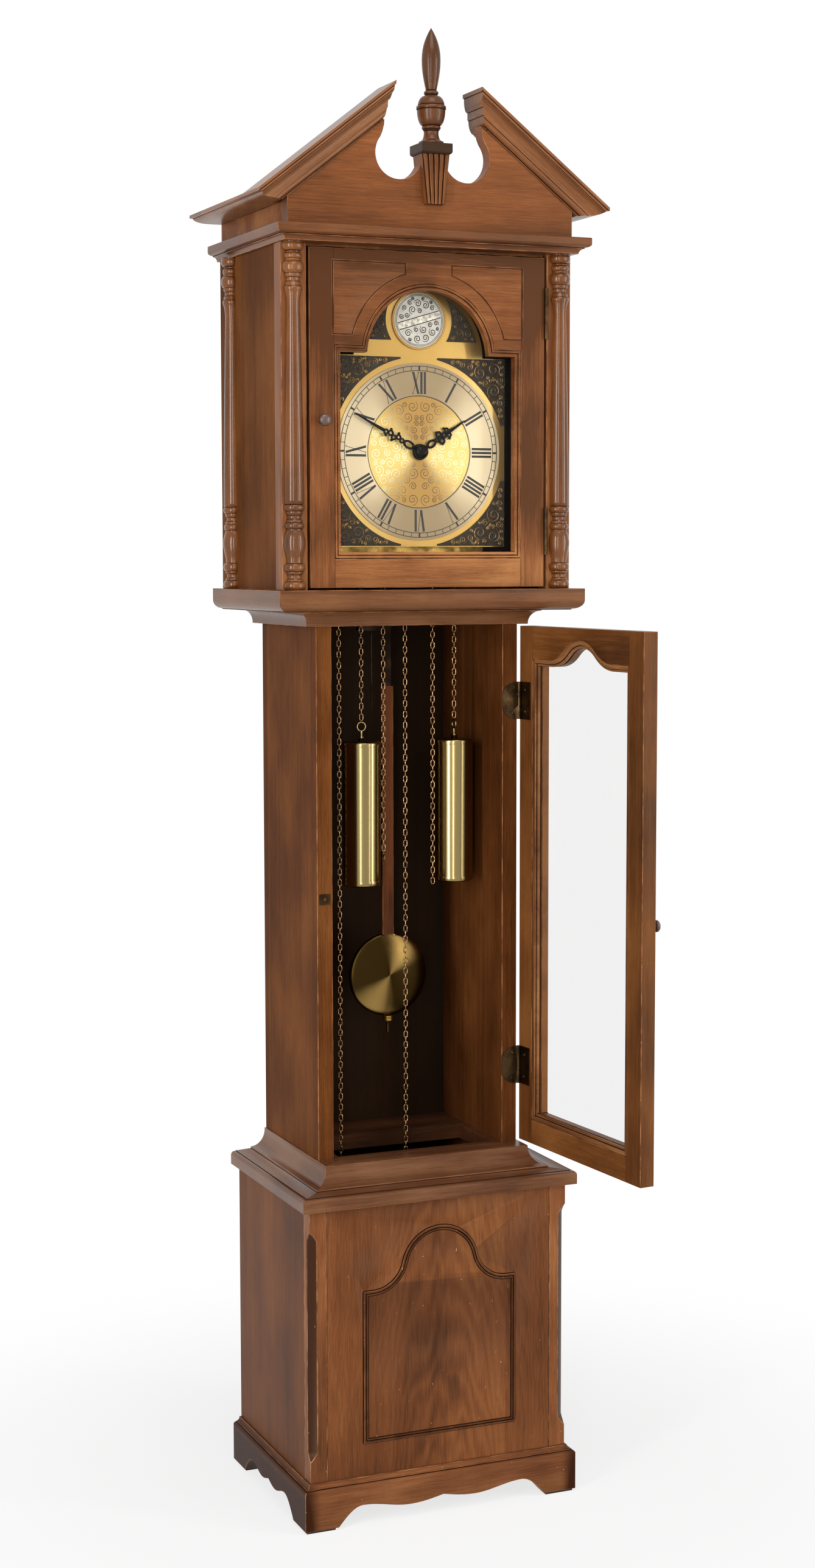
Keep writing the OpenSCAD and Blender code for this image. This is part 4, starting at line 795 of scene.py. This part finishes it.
def brushed(name, centre, dark, bright, sheen_angle, rough=0.3, metallic=0.85, spread=(0.05, 0.95)):
    """Brushed in circles about a centre, with painted reflection: two opposite fans are brighter, as if
    the light gathered there.

    The fans lie at this angle. Gives the finish, and what its shader is to show.
    """
    finish = Finish(name, {"Metallic": metallic})
    moved = finish.add("ShaderNodeVectorMath", {"operation": "SUBTRACT"},
                       {0: finish.here, 1: tuple(centre)})
    x, y, z = finish.split(moved)
    radius = finish.add("ShaderNodeVectorMath", {"operation": "LENGTH"},
                        {0: finish.join(x, 0, z)}, "Value")
    turn = finish.maths("ARCTAN2", z, x)
    sheen_fan = finish.maths("COSINE", (turn - sheen_angle) * 2) * 0.5 + 0.5
    rings = finish.noise(finish.join(radius, 0, 0), (2600, 1, 1))
    drift = finish.noise(moved, (18, 18, 18))
    # Painted reflection: the colour is brighter in the fans.
    painted_sheen = finish.soft_step(sheen_fan + (drift - 0.5) * 0.3 + (rings - 0.5) * 0.16, *spread)
    return finish, {"Base Color": finish.mix(painted_sheen, dark, bright),
                    "Roughness": rough + (rings - 0.5) * 0.12,
                    "Normal": finish.bump(rings, 0.12, 0.0001)}


# The plate, ring and centre carry painted reflections in fans.
plate, look = brushed("dial_plate_brass", DIAL, "#ab8847", "#cdaa64", 0.2)
repaint("dial_plate", plate.show(look))
ring, look = brushed("silvered_ring", DIAL, "#8d7856", "#d6c29b", 0.0, 0.36, 0.35)
repaint("chapter_ring", ring.show(look))

DISC_EDGE = 0.0306
lacquer, look = brushed("dial_centre_lacquer", DIAL, "#9d783a", "#dabb6c", 0.0, 0.34, 0.5)
from_disc = lacquer.add("ShaderNodeVectorMath", {"operation": "DISTANCE"},
                        {0: lacquer.here, 1: tuple(DISC)}, "Value")
pewter = lacquer.mix(lacquer.noise(lacquer.here, (160, 160, 160), 3), "#8f8b80", "#c4bfb3")
look["Base Color"] = lacquer.mix(from_disc < DISC_EDGE, look["Base Color"], pewter)
repaint("dial_discs", lacquer.show(look))

black_paint = Finish("numeral_paint", {})
grit = black_paint.noise(black_paint.here, (1500, 1500, 1500))
ink = black_paint.show({"Base Color": black_paint.mix(grit, "#12100e", "#2b2620"),
                        "Roughness": 0.5 + grit * 0.1})


def face_point(x, z, depth):
    """A point of the dial from its millimetres from the middle, and forward of the plate."""
    return DIAL + Vector((x, -depth, z)) / 1000


def outward(degrees):
    """The direction from the dial's middle at this angle, clockwise from the top."""
    turn = math.radians(degrees)
    return Vector((math.sin(turn), math.cos(turn)))


def bar(shape, a, b, width, depth, rise):
    """A thin flat bar from a to b, two points of the dial's face."""
    across = Vector((-(b - a).y, (b - a).x)).normalized() * width / 2
    ends = (a + across, b + across, b - across, a - across)
    rows = [[shape.verts.new(face_point(p.x, p.y, d)) for p in ends]
            for d in (depth, depth + rise)]
    shape.faces.new(rows[1])
    skin(shape, rows)


def round_line(shape, reach, centre, step, width, depth, rise):
    """A thin line in a circle, laid as short bars."""
    corners = [outward(degrees) * reach + centre for degrees in range(0, 360, step)]
    for i, spot in enumerate(corners):
        bar(shape, spot, corners[i - 1], width, depth, rise)


def flat_piece(name, shape, finish, body):
    """A piece made of bars, with its faces turned outward."""
    bmesh.ops.recalc_face_normals(shape, faces=shape.faces)
    add_shape(name, shape, finish, body)


NUMERAL_FOOT = 66.2
NUMERAL_HEIGHT = 24.2
TRACK_INNER = 92.3
TRACK_OUTER = 97.4
RING_INNER = 63.8
RING_FACE = 1.2
PAINT_RISE = 0.14
THICK = 2.6
THIN = 0.55
LETTER_WIDTHS = {"I": 4.3, "V": 9.4, "X": 9.6}
LETTER_STROKES = {
    "I": ((0.5, 0, 0.5, 1, THICK), (0.12, 0, 0.88, 0, THIN), (0.12, 1, 0.88, 1, THIN)),
    "V": ((0.14, 1, 0.52, 0, THICK), (0.55, 0, 0.9, 1, THIN), (0, 1, 0.3, 1, THIN),
          (0.76, 1, 1, 1, THIN)),
    "X": ((0.16, 1, 0.82, 0, THICK), (0.14, 0, 0.86, 1, THIN), (0, 1, 0.32, 1, THIN),
          (0.74, 1, 1, 1, THIN), (0, 0, 0.26, 0, THIN), (0.68, 0, 1, 0, THIN))}

numerals = bmesh.new()
for hour, word in enumerate("XII I II III IIII V VI VII VIII IX X XI".split()):
    up = outward(hour * 30)
    right = Vector((up.y, -up.x))
    left = -sum(LETTER_WIDTHS[letter] for letter in word) / 2
    for letter in word:
        wide = LETTER_WIDTHS[letter]
        for x0, z0, x1, z1, width in LETTER_STROKES[letter]:
            ends = [right * (left + wide * x) + up * (NUMERAL_FOOT + NUMERAL_HEIGHT * z)
                    for x, z in ((x0, z0), (x1, z1))]
            bar(numerals, ends[0], ends[1], width, RING_FACE, PAINT_RISE)
        left += wide
for minute in range(60):
    out = outward(minute * 6)
    width = 2.2 if minute % 5 == 0 else 0.7
    bar(numerals, out * TRACK_INNER, out * TRACK_OUTER, width, RING_FACE, PAINT_RISE)
for reach in (TRACK_INNER, TRACK_OUTER, RING_INNER):
    round_line(numerals, reach, Vector((0, 0)), 3, 0.8, RING_FACE, 0.12)
flat_piece("chapter_numerals", numerals, ink, "case")

# Scrollwork of the dial's centre: fine spirals of pressed brass, nearly flat, packed in
# one half of the disc and mirrored to the other.


def packed(inside, low, high, sizes, seed):
    """Circles of falling size that keep clear of each other inside a shape.

    Each size comes with its number of tries. Gives x, z, size and the angle it starts at.
    """
    chance = random.Random(seed)
    put = []
    for size, tries in sizes:
        for _ in range(tries):
            x = chance.uniform(low[0], high[0])
            z = chance.uniform(low[1], high[1])
            if inside(x, z, size) and all(math.hypot(x - a, z - b) > (size + r) * 0.97
                                          for a, b, r, _ in put):
                put.append((x, z, size, chance.uniform(0, 6.28)))
    return put


BOTH_SIDES = ((1, 1, 0), (-1, 1, 0))
ALL_CORNERS = BOTH_SIDES + ((1, -1, 0), (-1, -1, 0))
SPIRAL_STEPS = 16
SPIRAL_TURN = 10.2


def spiral(x, z, size, start, hand, width):
    """Points along one spiral from its rim inward, each with its width."""
    spots = []
    for i in range(SPIRAL_STEPS + 1):
        t = i / SPIRAL_STEPS
        reach = size * (0.98 - 0.8 * t ** 0.85)
        turn = start + hand * t * SPIRAL_TURN
        spots.append((x + reach * math.cos(turn), z + reach * math.sin(turn),
                      width * (1.05 - 0.25 * t) * (0.55 + 0.45 * min(1, 5 * t))))
    return spots


def scrollwork(shape, circles, swell, width, depth, rise, mirrors):
    """A ridged spiral in each circle, by turns right and left, in each mirror image.

    Each mirror image gives the sign of x, the sign of z, and how far up it's moved.
    """
    for number, (centre_x, centre_z, size, start) in enumerate(circles):
        hand = 1 - 2 * (number % 2)
        spots = spiral(centre_x, centre_z, size * swell, start, hand, width)
        for mirror_x, mirror_z, lift in mirrors:
            last = None
            for i, (x, z, wide) in enumerate(spots):
                a, b = spots[max(0, i - 1)], spots[min(SPIRAL_STEPS, i + 1)]
                way = Vector((b[0] - a[0], b[1] - a[1])).normalized()
                side = Vector((-way.y, way.x)) * wide / 2
                row = []
                for off, high in ((1, 0), (0, rise), (-1, 0)):
                    p = Vector((x, z)) + side * off
                    spot = face_point(p.x * mirror_x, p.y * mirror_z + lift, depth + high)
                    row.append(shape.verts.new(spot))
                if last:
                    shape.faces.new((last[0], row[0], row[1], last[1]))
                    shape.faces.new((last[1], row[1], row[2], last[2]))
                last = row
    for face in shape.faces:
        face.normal_update()
        if face.normal.y > 0:
            face.normal_flip()


def right_half(x, z, r):
    """Whether a circle is in the right half of the dial's centre, clear of the arbor."""
    return r * 0.9 < x and 12 + r < math.hypot(x, z) < 62.4 - r


tracery = bmesh.new()
circles = packed(right_half, (0, -63), (63, 63), ((6.4, 400), (4.6, 1500), (3.2, 5000)), 7)
scrollwork(tracery, circles, 1.12, 0.8, 0.62, 0.16, BOTH_SIDES)
# The tracery carries painted reflections in fans.
tracery_brass, look = brushed("tracery_brass", DIAL, "#402a0e", "#fff6cc", 0.0, 0.5, 0.1)
add_shape("centre_tracery", tracery, tracery_brass.show(look), "case",
          smooth=True)

# Disc in the arch: silvered like the ring, with rim lines and scrolls cut in it and
# blackened, and a plain silver band laid across.

DISC_CENTRE = Vector((0, DISC_HEIGHT))
DISC_FACE = 1.4
BAND_RISE = 0.3
BAND_WAY = Vector((1, BAND_RISE)).normalized()
BAND_ACROSS = Vector((-BAND_WAY.y, BAND_WAY.x))


def band_bar(shape, off, half, width, rise):
    """A bar along the band, so far off its middle line."""
    middle = DISC_CENTRE + BAND_ACROSS * off
    bar(shape, middle - BAND_WAY * half, middle + BAND_WAY * half, width, DISC_FACE, rise)


def off_band(x, z, r):
    """Whether a circle is on the disc and clear of its band."""
    return math.hypot(x, z) < 27.4 - r and abs(z - BAND_RISE * x) > 5.2 + r


engraving = bmesh.new()
for reach in (29.2, 27.9):
    round_line(engraving, reach, DISC_CENTRE, 5, 0.5, DISC_FACE, 0.1)
circles = packed(off_band, (-28, -28), (28, 28), ((5, 300), (3.4, 1500), (2.3, 3000)), 3)
scrollwork(engraving, circles, 1, 1.0, DISC_FACE + 0.02, 0.1, ((1, 1, DISC_HEIGHT),))
for off in (4, -4):
    band_bar(engraving, off, 26.6, 0.9, 0.2)
engraved_line = metal("engraved_line", "#14110d", "#2e2a23", 0.55, 500)
flat_piece("arch_disc_engraving", engraving, engraved_line, "case")
band = bmesh.new()
band_bar(band, 0, 26.4, 7.4, 0.12)
band_silver = metal("band_silver", "#8a8478", "#c3bdae", 0.36, 200)
flat_piece("arch_disc_band", band, band_silver, "case")

# Corners of the dial: castings of aged brass fixed on the plate, whose scrolls stand up
# from a dark, dusty ground.

ground = Finish("spandrel_ground", {"Specular IOR Level": 0.2})
dust = ground.noise(ground.here, (500, 500, 500), 3)
repaint("spandrels", ground.show({
    "Base Color": ground.mix(dust, "#17120e", "#43382b"),
    "Roughness": 0.6 + dust * 0.2}))


def in_corner(x, z, r):
    """Whether a circle is in the square's corner, outside the chapter ring."""
    return 24 + r < x < 106.5 - r and 33 + r < z < 106.5 - r and math.hypot(x, z) > 108 + r


def in_arch(x, z, r):
    """Whether a circle is in the arch, beside its disc."""
    return (x > 24 + r and z > 127 + r and math.hypot(x, z - DISC_HEIGHT) > 42.5 + r
            and math.hypot(x, z - 108) < 73 - r)


castings = bmesh.new()
cast_sizes = ((9, 300), (6.5, 900), (4.6, 2500), (3.2, 5000), (2.3, 6000))
circles = packed(in_corner, (24, 33), (107, 107), cast_sizes, 11)
scrollwork(castings, circles, 1.08, 1.5, 1.5, 1.1, ALL_CORNERS)
circles = packed(in_arch, (24, 120), (80, 185), cast_sizes[1:], 5)
scrollwork(castings, circles, 1, 1.2, 1.5, 1.1, BOTH_SIDES)
cast_brass = metal("cast_brass", "#6e5b3c", "#e2c896", 0.42, 700, (0.3, 0.65))
add_shape("spandrel_scrolls", castings, cast_brass, "case")

# Hands: thin steel, pierced, painted black and pushed on their arbors, with a domed cap
# over the centre.

hand_paint = metal("hand_paint", "#0b0a0a", "#242120", 0.36, 500)
for node in ("minute_hand", "hour_hand"):
    hand = dress(node, hand_paint, edge=0.00015, arris=hand_paint)
    coats = hand.modifiers.new("coats of paint", "DISPLACE")
    coats.strength = 0.0003
    coats.mid_level = 0

# Movement behind the dial: brass plates, steel arbors, the iron gong block and rod, the
# escapement, and the seat board. It shows only with a door open.

plate_brass = metal("plate_brass", "#8a6a2e", "#c9a558", 0.34, 40)
dull_steel = metal("dull_steel", "#241a13", "#362a20", 0.5, 40)
for node in ("movement_frame", "escape_wheel", "chain_wheel_left", "chain_wheel_centre",
             "chain_wheel_right"):
    dress(node, plate_brass, edge=0.0002, arris=plate_brass)
for node in ("gong", "anchor", "pendulum_hanger"):
    dress(node, dull_steel, edge=0.0002, arris=dull_steel)
seat_wood = wood("seat_board_wood", level, ("#26140a", "#432513", "#5c371f"), lot=22.5)
dress("seat_board", seat_wood)

# Pendulum: a flat wooden rod hung from the movement, with a spun brass bob, brushed in
# circles, that rests on its rating nut.

rod_wood = wood("rod_wood", upright, ("#3d1f0e", "#69381c", "#86502c"), lot=23.6, strip=0.3)
dress("pendulum_rod", rod_wood)
# The bob carries painted reflection in a narrow fan.
bob_brass, look = brushed("bob_brass", place(0, 86, 610), "#35270f", "#a2844b", 1.05,
                          rough=0.25, metallic=1, spread=(0.5, 1.25))
dress("pendulum_bob", bob_brass.show(look), edge=0)
nut_brass = metal("nut_brass", "#6d5226", "#b8954e", 0.35, 200)
dress("rating_nut", nut_brass, edge=0.0003, arris=nut_brass)

# Weights: brass shells, turned and lacquered, hung by an eye on each end chain; the
# middle train's chain carries only its hook.

shell = Finish("weight_brass", {"Metallic": 1})
smear = shell.noise(shell.here, (30, 30, 6), 3)
shell_brass = shell.show({
    "Base Color": shell.mix(smear, "#86744a", "#96845a"),
    "Roughness": 0.2 + (smear - 0.5) * 0.03})
for node in ("weight_left", "weight_right"):
    hung = dress(node, shell_brass, edge=0, arris=shell_brass)
    even = hung.modifiers.new("straight reflections", "WEIGHTED_NORMAL")
    even.mode = "FACE_AREA"
    even.weight = 100
    even.keep_sharp = True
hook_metal = metal("hook_metal", "#4d3d28", "#94774c", 0.4, 300)
dress("centre_hook", hook_metal, edge=0)

# Chains: long links of bronzed wire, each turned a quarter to the next, from the wheels
# down. The free ends hang from the case.

LINK_PITCH = 0.0064
LINK_LENGTH = 0.0094
LINK_WIDTH = 0.0053
WIRE = 0.00125
FIRST_TURN = math.radians(-22)


def link_tree():
    """A strand of links upward from each point."""
    bench = Bench("chain links", {"Count": "Int", "Pitch": "Float", "Width": "Float",
                                  "Length": "Float", "Wire": "Float"})
    line = bench.add("GeometryNodeMeshLine", {"mode": "OFFSET"},
                     {"Count": bench.given("Count"),
                      "Offset": bench.vector({2: bench.given("Pitch")})})
    wire = bench.given("Wire")
    width = bench.maths("SUBTRACT", bench.given("Width"), wire)
    height = bench.maths("SUBTRACT", bench.given("Length"), wire)
    loop = bench.add("GeometryNodeCurvePrimitiveQuadrilateral", {"mode": "RECTANGLE"},
                     {"Width": width, "Height": height})
    loop = bench.add("GeometryNodeFilletCurve", {"mode": "POLY"},
                     {"Curve": loop, "Count": 2, "Radius": bench.times(width, 0.49)})
    section = bench.add("GeometryNodeCurvePrimitiveCircle", {"mode": "RADIUS"},
                        {"Resolution": 6, "Radius": bench.times(wire, 0.5)})
    link = bench.add("GeometryNodeCurveToMesh", None, {"Curve": loop, "Profile Curve": section})
    odd = bench.maths("FLOORED_MODULO", bench.add("GeometryNodeInputIndex"), 2.0)
    turn = bench.vector({0: QUARTER,
                         2: bench.maths("ADD", bench.times(odd, QUARTER), FIRST_TURN)})
    strand = bench.add("GeometryNodeInstanceOnPoints", None,
                       {"Points": line, "Instance": link, "Rotation": turn})
    real = bench.add("GeometryNodeRealizeInstances", None, {0: strand})
    hung = bench.add("GeometryNodeInstanceOnPoints", None,
                     {"Points": bench.given("Geometry"), "Instance": real})
    return bench.finish(hung)


links = link_tree()
bronze = metal("chain_bronze", "#5b3f28", "#c9a074", 0.3, 420)
for node, body in (("chain_left_weight", "weight_left"), ("chain_left_free", "case"),
                   ("chain_centre_hook", "centre_hook"), ("chain_centre_free", "case"),
                   ("chain_right_weight", "weight_right"), ("chain_right_free", "case")):
    low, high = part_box(node)
    count = round((high.z - low.z - LINK_LENGTH) / LINK_PITCH) + 1
    foot = Vector(((low.x + high.x) / 2, (low.y + high.y) / 2, low.z + LINK_LENGTH / 2))
    strand = copies(node + "_links", [foot], links, {
        "Count": count, "Pitch": LINK_PITCH, "Width": LINK_WIDTH, "Length": LINK_LENGTH,
        "Wire": WIRE}, bronze)
    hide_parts(node)
    if body == "case":
        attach(strand, "case")
    else:
        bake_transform(strand)

# Camera, lights and floor: a white studio sweep, four tall soft lights round the front of
# the clock, a broad one overhead, and the camera at its left at chest height.

lens = bpy.data.cameras.new("camera")
lens.sensor_width = 36
lens.lens = 56.02
lens.clip_end = 40
camera = put_in("camera", lens)
camera.location = (-1.1102, WALL_Y - 2.7781, 1.1147)
camera.rotation_euler = (math.radians(84.62), math.radians(0.107), math.radians(-22.902))
bpy.context.scene.camera = camera

for name, spot, aim, size, watts in (
        ("left softbox", (-2.2, -1.35, 1.25), (0, 0, 0.85), (0.4, 2.1), 41),
        ("middle softbox", (-1.25, -2.3, 1.25), (0, 0, 0.85), (0.25, 2.1), 18),
        ("strip light", (1.35, -2.4, 1.25), (0, 0, 0.85), (0.2, 2.1), 9),
        ("right softbox", (2.1, -1.8, 1.25), (0, 0, 0.85), (0.4, 2.1), 30),
        ("overhead softbox", (-0.3, -1.5, 3.4), (0, 0, 0.4), (1.6, 1.6), 34)):
    lamp = bpy.data.lights.new(name, "AREA")
    lamp.shape = "RECTANGLE"
    lamp.size, lamp.size_y = size
    lamp.energy = watts
    light = put_in(name, lamp)
    light.location = spot
    light.rotation_euler = (Vector(aim) - Vector(spot)).to_track_quat("-Z", "Y").to_euler()


def looked_at(tree):
    """Whether a ray comes from the camera, a reflection or through glass, as 1 or 0."""
    ray = tree.nodes.new("ShaderNodeLightPath")
    seen = ray.outputs["Is Camera Ray"]
    for label in ("Is Glossy Ray", "Is Transmission Ray"):
        either = tree.nodes.new("ShaderNodeMath")
        either.operation = "MAXIMUM"
        tree.links.new(seen, either.inputs[0])
        tree.links.new(ray.outputs[label], either.inputs[1])
        seen = either.outputs[0]
    return seen


# The world is white to look at and a fifth as bright as a light, so that the lamps model
# the clock and what is behind it stays white.

sky = bpy.data.worlds.new("white studio")
sky.use_nodes = True
bpy.context.scene.world = sky
tree = sky.node_tree
background = tree.nodes["Background"]
background.inputs["Color"].default_value = (1, 1, 1, 1)
brightness = tree.nodes.new("ShaderNodeMapRange")
brightness.inputs["To Min"].default_value = 0.2
brightness.inputs["To Max"].default_value = 1
tree.links.new(looked_at(tree), brightness.inputs["Value"])
tree.links.new(brightness.outputs[0], background.inputs["Strength"])

# The floor glows white away from the clock and takes the shadow under it, so that its
# edge isn't seen.

FLOOR_HALF = 9
floor_mesh = bpy.data.meshes.new("floor")
floor_mesh.from_pydata([(x * FLOOR_HALF, y * FLOOR_HALF, 0)
                        for x, y in ((-1, -1), (1, -1), (1, 1), (-1, 1))], [], [(0, 1, 2, 3)])
floor = put_in("floor", floor_mesh)
sweep = Finish("white sweep", {"Base Color": (0.86, 0.86, 0.86, 1), "Roughness": 0.9})
away = sweep.add("ShaderNodeVectorMath", {"operation": "LENGTH"}, {0: sweep.here}, "Value")
looked = Wire(sweep, looked_at(sweep.material.node_tree))
white = looked * sweep.soft_step(away, 0.25, 1, 0.75, 1)
glow = sweep.nodes.new("ShaderNodeEmission")
blend = sweep.nodes.new("ShaderNodeMixShader")
sweep.links.new(white.socket, blend.inputs[0])
sweep.links.new(sweep.nodes["Principled BSDF"].outputs[0], blend.inputs[1])
sweep.links.new(glow.outputs[0], blend.inputs[2])
sweep.links.new(blend.outputs[0], sweep.nodes["Material Output"].inputs["Surface"])
floor_mesh.materials.append(sweep.material)

bpy.context.scene.view_settings.view_transform = "Standard"
